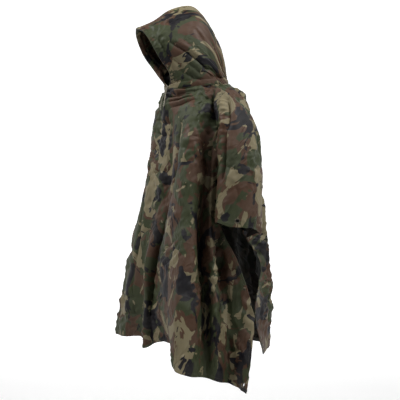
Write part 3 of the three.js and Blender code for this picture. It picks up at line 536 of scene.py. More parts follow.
class Panel:
    """One half of the sheet: its places, its cloth laid flat, and where its folds and heights are."""

    def __init__(self, name, first_side, first_folds, second_side, second_folds, facing, beyond):
        self.name = name
        self.beyond = [self.fold_line(*fold) for fold in beyond]
        self.facing = facing
        outer = first_folds[::-1]
        followers = outer[1:] + second_folds[:1]
        folds = [(fold, first_side, after["steps"]) for fold, after in zip(outer, followers)]
        folds += [(fold, second_side, fold["steps"]) for fold in second_folds]
        self.middle_fold = next(c for c, (fold, _, _) in enumerate(folds) if fold["fold"] == "middle")
        cells = [steps * PANEL_CELLS["across"] for _, _, steps in folds[:-1]]
        self.starts = np.concatenate([[0], np.cumsum(cells)])
        self.places = self.hang(folds, cells) * MM
        self.there = ~np.isnan(self.places[..., 0])
        self.flat = self.lay_flat()
        self.edge = self.edge_distance()

    def fold_line(self, fold, side):
        """The places of one fold from the top to its foot."""
        levels = LEVELS if "hem" in fold else LEVELS[:ELBOW + 1]
        count = (len(levels) - 1) * PANEL_CELLS["down"]
        return along_curve([fold_place(fold, level, side) for level in levels], np.arange(count + 1) / count)

    def hang(self, folds, cells):
        """Every place of the hung cloth, row by row down from the top."""
        down = PANEL_CELLS["down"]
        rows = (len(LEVELS) - 1) * down
        places = np.full((rows + 1, self.starts[-1] + 1, 3), np.nan)
        lines = [self.fold_line(fold, side) for fold, side, _ in folds]
        long_folds = [c for c, (fold, _, _) in enumerate(folds) if "hem" in fold]
        self.hem_folds = (long_folds[0], long_folds[-1])
        for j in range(rows + 1):
            in_sleeve = j <= ELBOW_ROW
            first, last = (0, len(folds) - 1) if in_sleeve else self.hem_folds
            shares = [(c - first + k / cells[c]) / (last - first)
                      for c in range(first, last) for k in range(cells[c])]
            before, after = (line[j] for line in self.beyond) if down <= j <= ELBOW_ROW else (None, None)
            across = along_curve([lines[c][j] for c in range(first, last + 1)], shares + [1.0], before, after)
            if in_sleeve:
                across[:, 1] = self.facing * np.maximum(self.facing * across[:, 1], ARM_CLEAR)
            places[j, self.starts[first]:self.starts[last] + 1] = across
        return places

    def lay_flat(self):
        """Each place's spot on the cloth laid flat: out from the middle and down from the top.

        It starts from lengths along the rows and the columns, and springs between places that are
        a few cells apart then even it out, so that the print isn't sheared.
        """
        out, down = lengths_along(self.places, 1), lengths_along(self.places, 0)
        middle = self.starts[self.middle_fold]
        plain = np.stack([out - out[:, middle:middle + 1], down], axis=2)
        across, deep = PANEL_CELLS["across"], PANEL_CELLS["down"] // SPRINGS["to_a_height"]
        there = self.there[::deep, ::across]
        hung = np.nan_to_num(self.places[::deep, ::across])
        laid = plain[::deep, ::across].copy()
        rows, columns = there.shape
        springs = []
        for dj, di in ((0, 1), (1, 0), (1, 1), (1, -1)):
            one = (slice(0, rows - dj), slice(max(0, -di), columns - max(0, di)))
            other = (slice(dj, rows), slice(max(0, di), columns - max(0, -di)))
            length = np.linalg.norm(hung[other] - hung[one], axis=2)
            springs.append((one, other, there[one] & there[other], length))
        for _ in range(SPRINGS["rounds"]):
            moved = np.zeros_like(laid)
            pulls = np.full(there.shape, NEARLY_NOTHING)
            for one, other, both, length in springs:
                between = laid[other] - laid[one]
                now = np.maximum(np.linalg.norm(between, axis=2), NEARLY_NOTHING)
                pull = between * (0.5 * both * (1 - length / now))[..., None]
                moved[one] += pull
                moved[other] -= pull
                pulls[one] += both
                pulls[other] += both
            laid += SPRINGS["push"] * moved / pulls[..., None]
        laid -= laid[0, middle // across]
        return self.refined(laid, deep, across)

    def refined(self, coarse, deep, across):
        """Values of a coarse grid, spread evenly over every cell between."""
        j = np.arange(self.there.shape[0]) / deep
        i = np.arange(self.there.shape[1]) / across
        low_j = np.minimum(j.astype(int), coarse.shape[0] - 2)
        low_i = np.minimum(i.astype(int), coarse.shape[1] - 2)
        v, u = (j - low_j)[:, None, None], (i - low_i)[None, :, None]
        upper, lower = ((1 - u) * coarse[row][:, low_i] + u * coarse[row][:, low_i + 1]
                        for row in (low_j, low_j + 1))
        return (1 - v) * upper + v * lower

    def print_runs_on_from(self, panel):
        """Shifts this panel's flat cloth so that the print crosses the left arm line without a break."""
        foot = ELBOW_ROW + 1
        there, here = panel.flat[:foot, -1], self.flat[:foot, 0]
        middle_there, middle_here = there.mean(axis=0), here.mean(axis=0)
        (a, b), (c, d) = (here - middle_here).T @ (there - middle_there)
        angle = math.atan2(b - c, a + d)
        turn = np.array([[math.cos(angle), math.sin(angle)], [-math.sin(angle), math.cos(angle)]])
        self.flat = (self.flat - middle_here) @ turn + middle_there
        away = 1 - smooth_step(lengths_along(self.places, 1), 0.0, PRINT_EVENED)
        amiss = there - self.flat[:foot, 0]
        amiss = np.vstack([amiss, np.repeat(amiss[-1:], len(self.flat) - foot, axis=0)])
        self.flat = self.flat + amiss[:, None, :] * away[..., None]

    def edge_distance(self):
        """How far each place is from the nearest free edge, along the cloth."""
        rows, columns = self.there.shape
        first, last = (self.starts[c] for c in self.hem_folds)
        lowest = np.where((np.arange(columns) >= first) & (np.arange(columns) <= last), rows - 1, ELBOW_ROW)
        down, out = lengths_along(self.places, 0), lengths_along(self.places, 1)
        up = down[lowest, np.arange(columns)][None, :] - down
        to_first = out - out[:, first:first + 1]
        to_last = out[:, last:last + 1] - out
        side = np.minimum(to_first, to_last)
        side[:ELBOW_ROW + 1] = FAR_IN
        return np.minimum(up, side)

    def spot(self, fold, level):
        """The row and column of a fold and a height, which may lie between two of the table's own."""
        return level * PANEL_CELLS["down"], float(np.interp(fold, range(len(self.starts)), self.starts))


def lift_from_creases(flat, creases, line_of):
    """How far each place stands off the plain cloth where creases cross it, and is drawn aside.

    Each crease fades at its ends. A trough is pinched, the more the deeper it is, and shuts to a slit.
    """
    lift = np.zeros(flat.shape[:2])
    drawn = np.zeros(flat.shape)
    for depth, width, line in creases:
        line = np.array([line_of(*point) for point in line])
        lengths = np.linalg.norm(np.diff(line, axis=0), axis=1)
        nearest = np.full(flat.shape[:2], np.inf)
        share = np.zeros(flat.shape[:2])
        towards = np.zeros(flat.shape)
        passed = 0.0
        for start, end, length in zip(line[:-1], line[1:], lengths):
            t = np.clip((flat - start) @ (end - start) / length ** 2, 0, 1)
            reach = start + t[..., None] * (end - start) - flat
            distance = np.linalg.norm(reach, axis=2)
            closer = distance < nearest
            nearest = np.where(closer, distance, nearest)
            towards = np.where(closer[..., None], reach, towards)
            share = np.where(closer, (passed + t * length) / lengths.sum(), share)
            passed += length
        fade = np.sin(np.pi * np.clip(share, CREASE["end"], 1 - CREASE["end"])) ** 0.5
        across = nearest / (width * MM)
        lift += depth * MM * fade * np.exp(-across ** CREASE["flank"])
        pinch = min(max(-depth - PINCH["from_depth"], 0) / PINCH["over"], PINCH["most"])
        drawn += towards * (pinch * fade * np.exp(-(across / PINCH["reach"]) ** 2))[..., None]
    return lift, drawn


def draw_aside(places, flat, drawn):
    """Moves the places along the cloth by distances given on the cloth laid flat."""
    along, down = np.gradient(places, axis=1), np.gradient(places, axis=0)
    flat_along, flat_down = np.gradient(flat, axis=1), np.gradient(flat, axis=0)
    turn = flat_along[..., 0] * flat_down[..., 1] - flat_along[..., 1] * flat_down[..., 0]
    turn = np.where(np.abs(turn) < NEARLY_NOTHING, np.inf, turn)
    share_along = (drawn[..., 0] * flat_down[..., 1] - drawn[..., 1] * flat_down[..., 0]) / turn
    share_down = (flat_along[..., 0] * drawn[..., 1] - flat_along[..., 1] * drawn[..., 0]) / turn
    moved = np.nan_to_num(along * share_along[..., None] + down * share_down[..., None])
    wanted = np.linalg.norm(drawn, axis=2, keepdims=True)
    length = np.linalg.norm(moved, axis=2, keepdims=True)
    return places + moved * np.minimum(1, wanted / np.maximum(length, NEARLY_NOTHING))


def crumple(flat, seed):
    """Small crumples with sharp ridges that lean this way and that, strong here and faint there."""
    height = np.zeros(flat.shape[:2])
    turns = [(layer["wave"], layer["height"], math.cos(layer["lean"]), math.sin(layer["lean"]))
             for layer in CRUMPLES]
    for index in np.ndindex(height.shape):
        u, v = flat[index]
        here = noise.noise(Vector((u * CRUMPLED["across"], v * CRUMPLED["down"], seed + 7)))
        strong = min(max(CRUMPLED["usual"] + CRUMPLED["spread"] * here, CRUMPLED["least"]), CRUMPLED["most"])
        ridges = 0.0
        for layer, (wave, share, cosine, sine) in enumerate(turns):
            across, along = u * cosine + v * sine, v * cosine - u * sine
            bend = noise.noise(Vector((u * RIDGES["bends"], v * RIDGES["bends"], seed + 20 + layer)))
            place = Vector((across / wave + RIDGES["bent"] * bend, along / wave * RIDGES["stretch"],
                            seed + 3.7 * layer))
            ridges += share * (RIDGES["top"] - RIDGES["slope"] * abs(noise.noise(place)))
        height[index] = ridges * strong
    return height


# Where the metal fittings sit, from the part's own pieces

def seat_of(node, outside):
    """A fitting's middle, and the direction that it faces, away from the point given."""
    low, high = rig.box(node)
    middle = (low + high) / 2
    places = np.array([vertex.co for vertex in frame["nodes"][node].data.vertices])
    spread = places - places.mean(axis=0)
    facing = Vector(np.linalg.eigh(spread.T @ spread)[1][:, 0])
    if facing.dot(middle - outside) < 0:
        facing.negate()
    return middle, facing


def fittings_on(side):
    """The grommets and snaps on the front or the back panel, each with its seat."""
    seats = {}
    for node in frame["nodes"]:
        on_front = "front" in node or node in ("grommet_left_side", "grommet_right_side")
        if node.startswith(("grommet", "snap")) and on_front == (side < 0):
            middle_line = Vector((0, 0, (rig.box(node)[0].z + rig.box(node)[1].z) / 2))
            seats[node] = seat_of(node, middle_line)
    return seats


# Making a cloth piece

def cloth_mesh(name, places, there, marks):
    """A grid of cloth as a mesh, with the marks given as attributes of its vertices."""
    rows, columns = there.shape
    mesh = bmesh.new()
    bmesh.ops.create_grid(mesh, x_segments=columns - 1, y_segments=rows - 1, size=1)
    layers = {mark: mesh.verts.layers.float_vector.new(mark) for mark in marks}
    missing = []
    for vertex in mesh.verts:
        i = round((vertex.co.x + 1) / 2 * (columns - 1))
        j = round((1 - vertex.co.y) / 2 * (rows - 1))
        if not there[j, i]:
            missing.append(vertex)
            continue
        vertex.co = places[j, i]
        for mark, layer in layers.items():
            vertex[layer] = marks[mark][j, i]
    bmesh.ops.delete(mesh, geom=missing, context="VERTS")
    return mesh


def grid_normals(places, facing):
    """The outward direction at each place of a grid, whose columns run to the left if facing is 1."""
    filled = places.copy()
    for i in range(1, filled.shape[1]):
        gap = np.isnan(filled[:, i, 0])
        filled[gap, i] = filled[gap, i - 1]
    for i in range(filled.shape[1] - 2, -1, -1):
        gap = np.isnan(filled[:, i, 0])
        filled[gap, i] = filled[gap, i + 1]
    along = np.gradient(filled, axis=1)
    descend = np.gradient(filled, axis=0)
    normals = facing * np.cross(descend, along)
    lengths = np.linalg.norm(normals, axis=2, keepdims=True)
    return np.divide(normals, lengths, out=np.zeros_like(normals), where=lengths > 1e-12)


def press_flat(places, normals, seats, wall):
    """Presses the cloth level under each fitting, so that the metal lies on it."""
    for node, (middle, facing) in seats.items():
        is_grommet = node.startswith("grommet")
        reach = (GROMMET["flange"] if is_grommet else SNAP["radius"]) * MM
        sunk = 0.0 if is_grommet else SNAP["height"] / 2 * MM + wall / 2
        away = places - np.array(middle)
        height = away @ np.array(facing)
        radius = np.linalg.norm(away - height[..., None] * np.array(facing), axis=2)
        level = 1 - smooth_step(radius, reach + PRESSED["level"], reach + PRESSED["fade"])
        near = np.nan_to_num(np.where(np.abs(height) < PRESSED["within"], level, 0))
        places -= ((height + sunk) * near)[..., None] * np.array(facing)


def cut_grommet_holes(mesh, seats):
    """Takes the cloth out of each grommet's hole and draws the edge in under its flange."""
    cut = GROMMET["cloth_hole"] * MM
    for node, (middle, facing) in seats.items():
        if not node.startswith("grommet"):
            continue

        def in_plane(vertex):
            away = vertex.co - middle
            return away - away.dot(facing) * facing
        inside = [v for v in mesh.verts
                  if (v.co - middle).length < CUT_WITHIN and in_plane(v).length < cut]
        rim = {edge.other_vert(v) for v in inside for edge in v.link_edges} - set(inside)
        corners = {w for v in inside for face in v.link_faces for w in face.verts} - set(inside)
        bmesh.ops.delete(mesh, geom=inside, context="VERTS")
        for vertex in rim | corners:
            vertex.co = middle + in_plane(vertex).normalized() * cut


def placed(name, data):
    """Puts data in the scene as an object at the origin."""
    made = bpy.data.objects.new(name, data)
    bpy.context.scene.collection.objects.link(made)
    return made


def finished_piece(name, mesh, material, wall=None, hem=None, shaded_inside=None):
    """Makes the bmesh an object at the origin, smooth, with its cloth's thickness and finish.

    With a hem, the single cloth is half as thick as the wall given, and the turned hem is as thick as it.
    """
    data = bpy.data.meshes.new(name)
    mesh.normal_update()
    mesh.to_mesh(data)
    mesh.free()
    data.shade_smooth()
    piece = placed(name, data)
    data.materials.append(material)
    # A second material for the inner faces, when given, carries the painted shade of the inside.
    if shaded_inside:
        data.materials.append(shaded_inside)
    if wall:
        solid = piece.modifiers.new("Cloth thickness", "SOLIDIFY")
        solid.thickness = wall
        solid.offset = 0
        solid.use_even_offset = False
        if shaded_inside:
            solid.material_offset = 1
        if hem:
            mark_hem(piece, hem)
            solid.vertex_group = "hem"
            solid.thickness_vertex_group = SINGLE_SHARE
        evaluated = piece.evaluated_get(bpy.context.evaluated_depsgraph_get())
        walled = bpy.data.meshes.new_from_object(evaluated)
        walled.set_sharp_from_angle(angle=SHARP_ABOVE)
        piece.modifiers.clear()
        piece.data = walled
    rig.ride(piece, "root")
    return piece


def mark_hem(piece, width):
    """Gives the turned hem a vertex group, so that it is thicker than the single cloth."""
    group = piece.vertex_groups.new(name="hem")
    marks = piece.data.attributes["flat_cloth"].data
    for vertex in piece.data.vertices:
        from_edge = marks[vertex.index].vector[2]
        share = 1 - smooth_step(from_edge, width, width + HEM_FADE)
        group.add([vertex.index], float(share), "REPLACE")


# Materials

# The colour mix node has an input of the same name for each kind of value, so they are told by number.
MIX_SHARE, MIX_FIRST, MIX_SECOND, MIX_RESULT = 0, 6, 7, 2
WAVE_HEIGHT = 1


class Finish:
    """One material, made out of nodes one call at a time."""

    def __init__(self, name, **surface):
        self.material = bpy.data.materials.new(name)
        self.material.use_nodes = True
        self.tree = self.material.node_tree
        self.surface = self.tree.nodes["Principled BSDF"]
        for socket, value in surface.items():
            self.surface.inputs[socket.replace("_", " ")].default_value = value

    def node(self, kind, inputs=(), output=0, **settings):
        """Adds a shader node and gives its output, with each input a value or another node's output."""
        made = self.tree.nodes.new("ShaderNode" + kind)
        for name, value in settings.items():
            setattr(made, name, value)
        for socket, value in dict(inputs).items():
            if isinstance(value, bpy.types.NodeSocket):
                self.tree.links.new(value, made.inputs[socket])
            else:
                made.inputs[socket].default_value = value
        return made.outputs[output]

    def maths(self, operation, *values):
        return self.node("Math", dict(enumerate(values)), operation=operation)

    def ramp(self, value, low, high, to_low=0.0, to_high=1.0):
        return self.node("MapRange", {"Value": value, "From Min": low, "From Max": high, "To Min": to_low,
                                      "To Max": to_high}, interpolation_type="SMOOTHSTEP")

    def mix(self, share, first, second):
        made = self.tree.nodes.new("ShaderNodeMix")
        made.data_type = "RGBA"
        for number, value in ((MIX_SHARE, share), (MIX_FIRST, first), (MIX_SECOND, second)):
            if isinstance(value, bpy.types.NodeSocket):
                self.tree.links.new(value, made.inputs[number])
            else:
                made.inputs[number].default_value = value
        return made.outputs[MIX_RESULT]

    def noise(self, place, scale, detail=2.0, distortion=0.0, rough=0.5, **settings):
        return self.node("TexNoise", {"Vector": place, "Scale": scale, "Detail": detail, "Roughness": rough,
                                      "Distortion": distortion}, **settings)

    def on_object(self):
        """The object's own coordinates."""
        return self.node("TexCoord", output="Object")

    def bump(self, height, distance, strength=1.0, below=None):
        inputs = {"Height": height, "Distance": distance, "Strength": strength}
        if below is not None:
            inputs["Normal"] = below
        return self.node("Bump", inputs)

    def shift(self, place, offset, turn=0.0, stretch=(1, 1, 1)):
        return self.node("Mapping", {"Vector": place, "Location": offset, "Rotation": (0, 0, turn),
                                     "Scale": stretch})

    def set(self, socket, value):
        self.tree.links.new(value, self.surface.inputs[socket])


def flat_cloth(finish):
    """Where a point is on the cloth laid flat: out from the middle and down from the top."""
    marked = finish.node("Attribute", attribute_name="flat_cloth", output="Vector")
    return finish.node("VectorMath", {0: marked, 1: (1, 1, 0)}, operation="MULTIPLY")


# The cloth's ground has two colours. Each patch over it is its colour, its own place in the noise,
# patches to a metre, how torn it is, and how much it leaves bare.
GROUND = dict(offset=(1.3, 4.2, 0), scale=6.4, torn=0.5, bare=(0.52, 0.53))
PATCH = dict(stretch=(1.2, 0.82, 1), detail=3.0, rough=0.54, edge=0.008)
PATCHES = [
    dict(colour="leaf", offset=(3.1, 7.7, 0), turn=0.25, scale=9.4, torn=0.6, bare=0.508),
    dict(colour="bark", offset=(11.4, 2.9, 0), turn=-0.3, scale=9.0, torn=0.7, bare=0.556),
    dict(colour="sand", offset=(6.2, 14.8, 0), turn=0.35, scale=10.4, torn=0.9, bare=0.560),
    dict(colour="shade", offset=(17.3, 9.1, 0), turn=-0.4, scale=11.0, torn=0.8, bare=0.570),
]


def woodland_print(finish, flat, cloth):
    """Torn, interlocking patches in four colours, longer than they are wide, printed one over the next."""
    place = finish.shift(flat, GROUND["offset"])
    ground = finish.noise(place, GROUND["scale"], PATCH["detail"], GROUND["torn"])
    printed = finish.mix(finish.ramp(ground, *GROUND["bare"]), (*cloth.bark, 1), (*cloth.leaf, 1))
    for patch in PATCHES:
        place = finish.shift(flat, patch["offset"], patch["turn"], PATCH["stretch"])
        spread = finish.noise(place, patch["scale"], PATCH["detail"], patch["torn"], PATCH["rough"])
        inside = finish.ramp(spread, patch["bare"], patch["bare"] + PATCH["edge"])
        printed = finish.mix(inside, printed, (*getattr(cloth, patch["colour"]), 1))
    return printed


# Wear as a colour, the near black mixed into the inside as painted shade, and the relief: wrinkles, the creases of
# packing and the weave.
WORN = dict(colour=(0.090, 0.085, 0.070, 1), share=0.12, roughness=(0.50, 0.68))
INSIDE_PAINTED_SHADE = (0.004, 0.0038, 0.0030, 1)
WRINKLES = dict(turn=0.75, stretch=(1.0, 0.4, 1), scale=60.0, height=0.0085)
PACKING = dict(pitches=(0.235, 0.19), width=0.005, depth=0.0018, strength=0.5)
WEAVE = dict(scale=2600.0, height=0.00008, strength=0.4)


def camouflage_material(name, cloth, inside_shade=0.0):
    """Thin coated cloth, printed, wrinkled and creased from packing. The inside is the same, mixed towards near black
    as painted shade of the hollow within the garment.
    """
    finish = Finish(name, Roughness=0.6, IOR=1.45, Specular_IOR_Level=0.2)
    flat = flat_cloth(finish)
    printed = woodland_print(finish, flat, cloth)
    worn = finish.noise(flat, 14.0, 4.0, 0.2, 0.6)
    printed = finish.mix(finish.ramp(worn, 0.35, 0.7, 0.0, WORN["share"]), printed, WORN["colour"])
    # The inside is mixed this far towards near black, a painted shade of the hollow within the garment.
    if inside_shade:
        printed = finish.mix(inside_shade, printed, INSIDE_PAINTED_SHADE)
    finish.set("Base Color", printed)
    finish.set("Roughness", finish.ramp(worn, 0.3, 0.7, *WORN["roughness"]))
    pulled = finish.shift(flat, (0, 0, 0), WRINKLES["turn"], WRINKLES["stretch"])
    wrinkles = finish.noise(pulled, WRINKLES["scale"], 3.0, 0.5, 0.55, noise_type="RIDGED_MULTIFRACTAL")
    where = finish.ramp(finish.noise(flat, 6.5, 2.0), 0.40, 0.60, 0.15, 1.0)
    small = finish.bump(finish.maths("MULTIPLY", wrinkles, where), WRINKLES["height"])
    lines = []
    for axis, pitch in enumerate(PACKING["pitches"]):
        along = finish.node("SeparateXYZ", {"Vector": flat}, output=axis)
        within = finish.maths("PINGPONG", along, pitch / 2)
        lines.append(finish.ramp(within, 0.0, PACKING["width"], 1.0, 0.0))
    faded = finish.ramp(finish.noise(flat, 9.0, 1.0), 0.46, 0.66)
    packing = finish.maths("MULTIPLY", finish.maths("MAXIMUM", *lines), faded)
    folded = finish.bump(packing, PACKING["depth"], PACKING["strength"], small)
    weave = finish.noise(flat, WEAVE["scale"], 1.0)
    finish.set("Normal", finish.bump(weave, WEAVE["height"], WEAVE["strength"], folded))
    return finish.material


def metal_material(name, colour, worn_colour, roughness):
    """Dark plated or enamelled metal, a little brighter where it is rubbed."""
    finish = Finish(name, Metallic=0.85, IOR=1.6)
    worn = finish.noise(finish.on_object(), 420.0, 4.0, 0.3, 0.65)
    edge = finish.node("NewGeometry", output="Pointiness")
    rubbed = finish.maths("MULTIPLY", finish.ramp(edge, 0.50, 0.56), finish.ramp(worn, 0.35, 0.6))
    finish.set("Base Color", finish.mix(rubbed, (*colour, 1), (*worn_colour, 1)))
    finish.set("Roughness", finish.ramp(worn, 0.3, 0.7, roughness - 0.08, roughness + 0.1))
    finish.set("Normal", finish.bump(worn, 0.0002, 0.3))
    return finish.material


def cord_material(name, colour):
    """Braided cord: two sets of strands that cross on the slant, with painted shade in the gaps between them."""
    finish = Finish(name, Roughness=0.8)
    wave = {"Vector": finish.on_object(), "Scale": 260.0, "Distortion": 1.5}
    strands = [finish.node("TexWave", wave, WAVE_HEIGHT, wave_type="BANDS", bands_direction=direction)
               for direction in ("Z", "DIAGONAL")]
    braid = finish.maths("MAXIMUM", *strands)
    # The gaps between the strands, where the bump is lowest, are painted nearly half as bright, as painted shade.
    dark = tuple(0.45 * value for value in colour)
    finish.set("Base Color", finish.mix(finish.ramp(braid, 0.35, 0.9), (*dark, 1), (*colour, 1)))
    finish.set("Normal", finish.bump(braid, 0.0005, 0.7))
    return finish.material


def thread_material(name):
    """Dull green sewing thread."""
    finish = Finish(name, Roughness=0.7)
    twist = finish.noise(finish.on_object(), 900.0, 2.0)
    finish.set("Base Color", finish.mix(twist, (0.03, 0.03, 0.018, 1), (0.075, 0.07, 0.045, 1)))
    finish.set("Normal", finish.bump(twist, 0.0001, 0.5))
    return finish.material


def studio_material(name, glow):
    """Matt white paper, lit from within far out, so that it stays white behind the garment."""
    finish = Finish(name, Roughness=0.95)
    place = finish.on_object()
    grain = finish.noise(place, 30.0, 2.0)
    finish.set("Base Color", finish.mix(grain, (0.93, 0.93, 0.93, 1), (0.95, 0.95, 0.95, 1)))
    finish.surface.inputs["Emission Color"].default_value = (1, 1, 1, 1)
    behind = finish.node("VectorMath", {0: place, 1: (-0.866, 0.5, 0)}, output="Value",
                         operation="DOT_PRODUCT")
    finish.set("Emission Strength", finish.ramp(behind, 0.6, 4.5, 0.0, glow))
    return finish.material


# Operators: one for each piece or group of like pieces, and one for the stage

class PONCHO_OT_stage(bpy.types.Operator):
    """Adds the camera, the soft lights and the pale floor that curves up into a wall"""
    bl_idname = "poncho.stage"
    bl_label = "Camera, Lights and Floor"
    bl_options = {"REGISTER", "UNDO"}

    def execute(self, context):
        studio = context.scene.poncho_studio
        turn = Matrix.Rotation(studio.azimuth, 4, "Z")
        right = turn @ Vector((1, 0, 0))
        back = turn @ Vector((0, -1, 0))
        aim = Vector((0, 0, studio.aim)) + right * studio.aside
        data = bpy.data.cameras.new("camera")
        data.sensor_width = 36
        data.lens = data.sensor_width * studio.distance / studio.width
        camera = placed("camera", data)
        camera.location = aim + back * studio.distance
        camera.rotation_euler = back.to_track_quat("Z", "Y").to_euler()
        context.scene.camera = camera
        context.scene.view_settings.view_transform = "Standard"
        self.add_floor(studio)
        self.add_light("key light", studio.key, size=1.1, azimuth=-10, height=44)
        self.add_light("side light", studio.fill, size=1.0, azimuth=118, height=46)
        world = bpy.data.worlds.new("studio")
        world.use_nodes = True
        sky = world.node_tree.nodes["Background"]
        sky.inputs["Color"].default_value = (1, 1, 1, 1)
        sky.inputs["Strength"].default_value = studio.ambient
        context.scene.world = world
        return {"FINISHED"}

    def add_light(self, name, power, size, azimuth, height, distance=2.5, aim=-0.2):
        """A square light that looks at the garment, from degrees round its front and up."""
        data = bpy.data.lights.new(name, "AREA")
        data.energy = power
        data.size = size
        light = placed(name, data)
        out = Matrix.Rotation(math.radians(azimuth), 3, "Z") @ Vector((0, -1, 0))
        out = out * math.cos(math.radians(height)) + Vector((0, 0, math.sin(math.radians(height))))
        light.location = Vector((0, 0, aim)) + out * distance
        light.rotation_euler = out.to_track_quat("Z", "Y").to_euler()

    def add_floor(self, studio):
        """A sheet of paper that lies on the floor and is curved up on every side, far away."""
        flat, reach, cells, curl = 5.0, 14.0, 40, 0.12
        mesh = bmesh.new()
        bmesh.ops.create_grid(mesh, x_segments=cells, y_segments=cells, size=reach)
        for vertex in mesh.verts:
            past = max(0.0, vertex.co.xy.length - flat)
            vertex.co.z = studio.floor + past * past * curl
        data = bpy.data.meshes.new("studio_floor")
        mesh.to_mesh(data)
        mesh.free()
        data.shade_smooth()
        data.materials.append(studio_material("studio paper", studio.backdrop))
        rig.stage(placed("studio_floor", data))


class PONCHO_OT_drawcords(bpy.types.Operator):
    """Adds the two free ends of the hood's drawcord, each with its knot"""
    bl_idname = "poncho.drawcords"
    bl_label = "Drawcord"
    bl_options = {"REGISTER", "UNDO"}

    def execute(self, context):
        material = cord_material("braided cord", context.scene.poncho_fittings.cord)
        for side, points in DRAWCORDS.items():
            route = along_curve(np.array(points) * MM, np.linspace(0, 1, CORD["steps"]))
            cord = self.tube(f"drawcord_end_{side}", route, CORD["radius"] * MM, material)
            knot = self.knot(side, material)
            for piece, node in ((cord, f"drawcord_{side}"), (knot, f"cord_knot_{side}")):
                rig.replaces(piece, node)
                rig.slot(piece, "cord")
            length = float(np.linalg.norm(np.diff(route, axis=0), axis=1).sum())
            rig.cord(cord, exit=tuple(route[0]), length=length, diameter=2 * CORD["radius"] * MM,
                    far_end="knot", stiffness="limp", lay="hanging", with_pieces=[knot])
        return {"FINISHED"}

    def tube(self, name, route, radius, material, closed=False):
        """A round cord along a route of places."""
        data = bpy.data.curves.new(name, "CURVE")
        data.dimensions = "3D"
        data.bevel_depth = radius
        data.bevel_resolution = 3
        data.use_fill_caps = True
        spline = data.splines.new("POLY")
        spline.points.add(len(route) - 1)
        for point, place in zip(spline.points, route):
            point.co = (*place, 1)
        spline.use_smooth = True
        spline.use_cyclic_u = closed
        data.materials.append(material)
        piece = placed(name, data)
        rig.ride(piece, "root")
        return piece

    def knot(self, side, material):
        """A pulled-up overhand knot with a short tail, where the cord's solid knot is."""
        low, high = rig.box(f"cord_knot_{side}")
        middle = (low + high) / 2
        turns = [t / KNOT["steps"] * 2 * math.pi for t in range(KNOT["steps"])]
        route = [middle + Vector((KNOT["width"] * (math.sin(t) + KNOT["twist"] * math.sin(2 * t)),
                                  KNOT["depth"] * math.sin(3 * t),
                                  KNOT["height"] * (math.cos(t) - KNOT["twist"] * math.cos(2 * t)))) * MM
                 for t in turns]
        return self.tube(f"cord_knot_end_{side}", route, KNOT["radius"] * MM, material, closed=True)


class PONCHO_OT_panels(bpy.types.Operator):
    """Adds the front and the back of the sheet, hung in their folds, creased and hemmed"""
    bl_idname = "poncho.panels"
    bl_label = "Front and Back Panels"
    bl_options = {"REGISTER", "UNDO"}

    def execute(self, context):
        cloth = context.scene.poncho_cloth
        outside = camouflage_material("coated cloth outside", cloth)
        # The panels' inside is almost black: painted shade of the hollow under the poncho.
        inside = camouflage_material("coated cloth inside", cloth, inside_shade=0.88)
        thread = thread_material("hem thread")
        for panel in (FRONT, BACK):
            piece, places, normals = self.hung_panel(panel, cloth, outside, inside)
            stitches = self.hem_stitches(panel, cloth, places, normals, thread)
            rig.replaces(piece, panel.name)
            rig.slot(piece, "coated_cloth")
            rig.slot(stitches, "coated_cloth")
            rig.sheet(piece, held="hung", with_pieces=[stitches], **PANEL_CUT[panel.name])
        return {"FINISHED"}

    def hung_panel(self, panel, cloth, outside, inside):
        """One panel's cloth, with its places and outward directions for the stitches."""
        seats = fittings_on(panel.facing)
        places = panel.places.copy()
        normals = grid_normals(places, 1)

        def line_of(fold, level):
            return on_grid(panel.flat, *panel.spot(fold, level))
        lift, drawn = lift_from_creases(panel.flat, PANEL_CREASES[panel.name], line_of)
        lift *= cloth.crease
        lift += cloth.crumple * crumple(panel.flat, PANEL_SEEDS[panel.name])
        lift += gathers(panel.flat) * MM
        held = smooth_step(lengths_along(panel.places, 0), *HELD["shoulder"])
        out = lengths_along(panel.places, 1)
        to_arm = np.minimum(out, out[:, -1:] - out)
        in_sleeve = np.arange(places.shape[0]) <= ELBOW_ROW
        held[in_sleeve] *= smooth_step(to_arm[in_sleeve], *HELD["arm"])
        places = draw_aside(places, panel.flat, cloth.crease * drawn * held[..., None])
        places += (lift * held)[..., None] * normals
        press_flat(places, normals, seats, cloth.wall)
        normals = grid_normals(places, 1)
        marks = {"flat_cloth": np.concatenate([panel.flat, panel.edge[..., None]], axis=2)}
        mesh = cloth_mesh(panel.name, places, panel.there, marks)
        face_out(mesh, Vector(INSIDE_PANELS))
        cut_grommet_holes(mesh, seats)
        piece = finished_piece(f"{panel.name}_cloth", mesh, outside, cloth.wall * 2, cloth.hem, inside)
        return piece, places, normals

    def hem_stitches(self, panel, cloth, places, normals, material):
        """A row of stitches along every free edge, a hem's width in."""
        rows, columns = panel.there.shape
        first, last = (panel.starts[c] for c in panel.hem_folds)
        inset = cloth.hem - STITCH["in_from_hem"]

        def along_row(row, start, end):
            back = inset / np.linalg.norm(places[row, start] - places[row - 1, start])
            return [(row - back, column) for column in np.arange(start, end, 0.5)]

        def along_column(column, inwards, start, end):
            found = []
            for row in np.arange(start, end, 0.5):
                pitch = np.linalg.norm(places[int(row), column] - places[int(row), column + inwards])
                found.append((row, column + inwards * inset / pitch))
            return found
        lines = [along_row(rows - 1, first + 1, last - 1), along_row(ELBOW_ROW, 2, first - 1),
                 along_row(ELBOW_ROW, last + 1, columns - 3),
                 along_column(first, 1, ELBOW_ROW + 2, rows - 3),
                 along_column(last, -1, ELBOW_ROW + 2, rows - 3)]
        mesh = bmesh.new()
        for line in lines:
            run = np.array([on_grid(places, row, column) for row, column in line])
            out = np.array([on_grid(normals, row, column) for row, column in line])
            keep = ~np.isnan(run[:, 0])
            sew_along(mesh, run[keep] + out[keep] * (cloth.wall + STITCH["above"]))
        return finished_piece(f"{panel.name}_stitches", mesh, material)


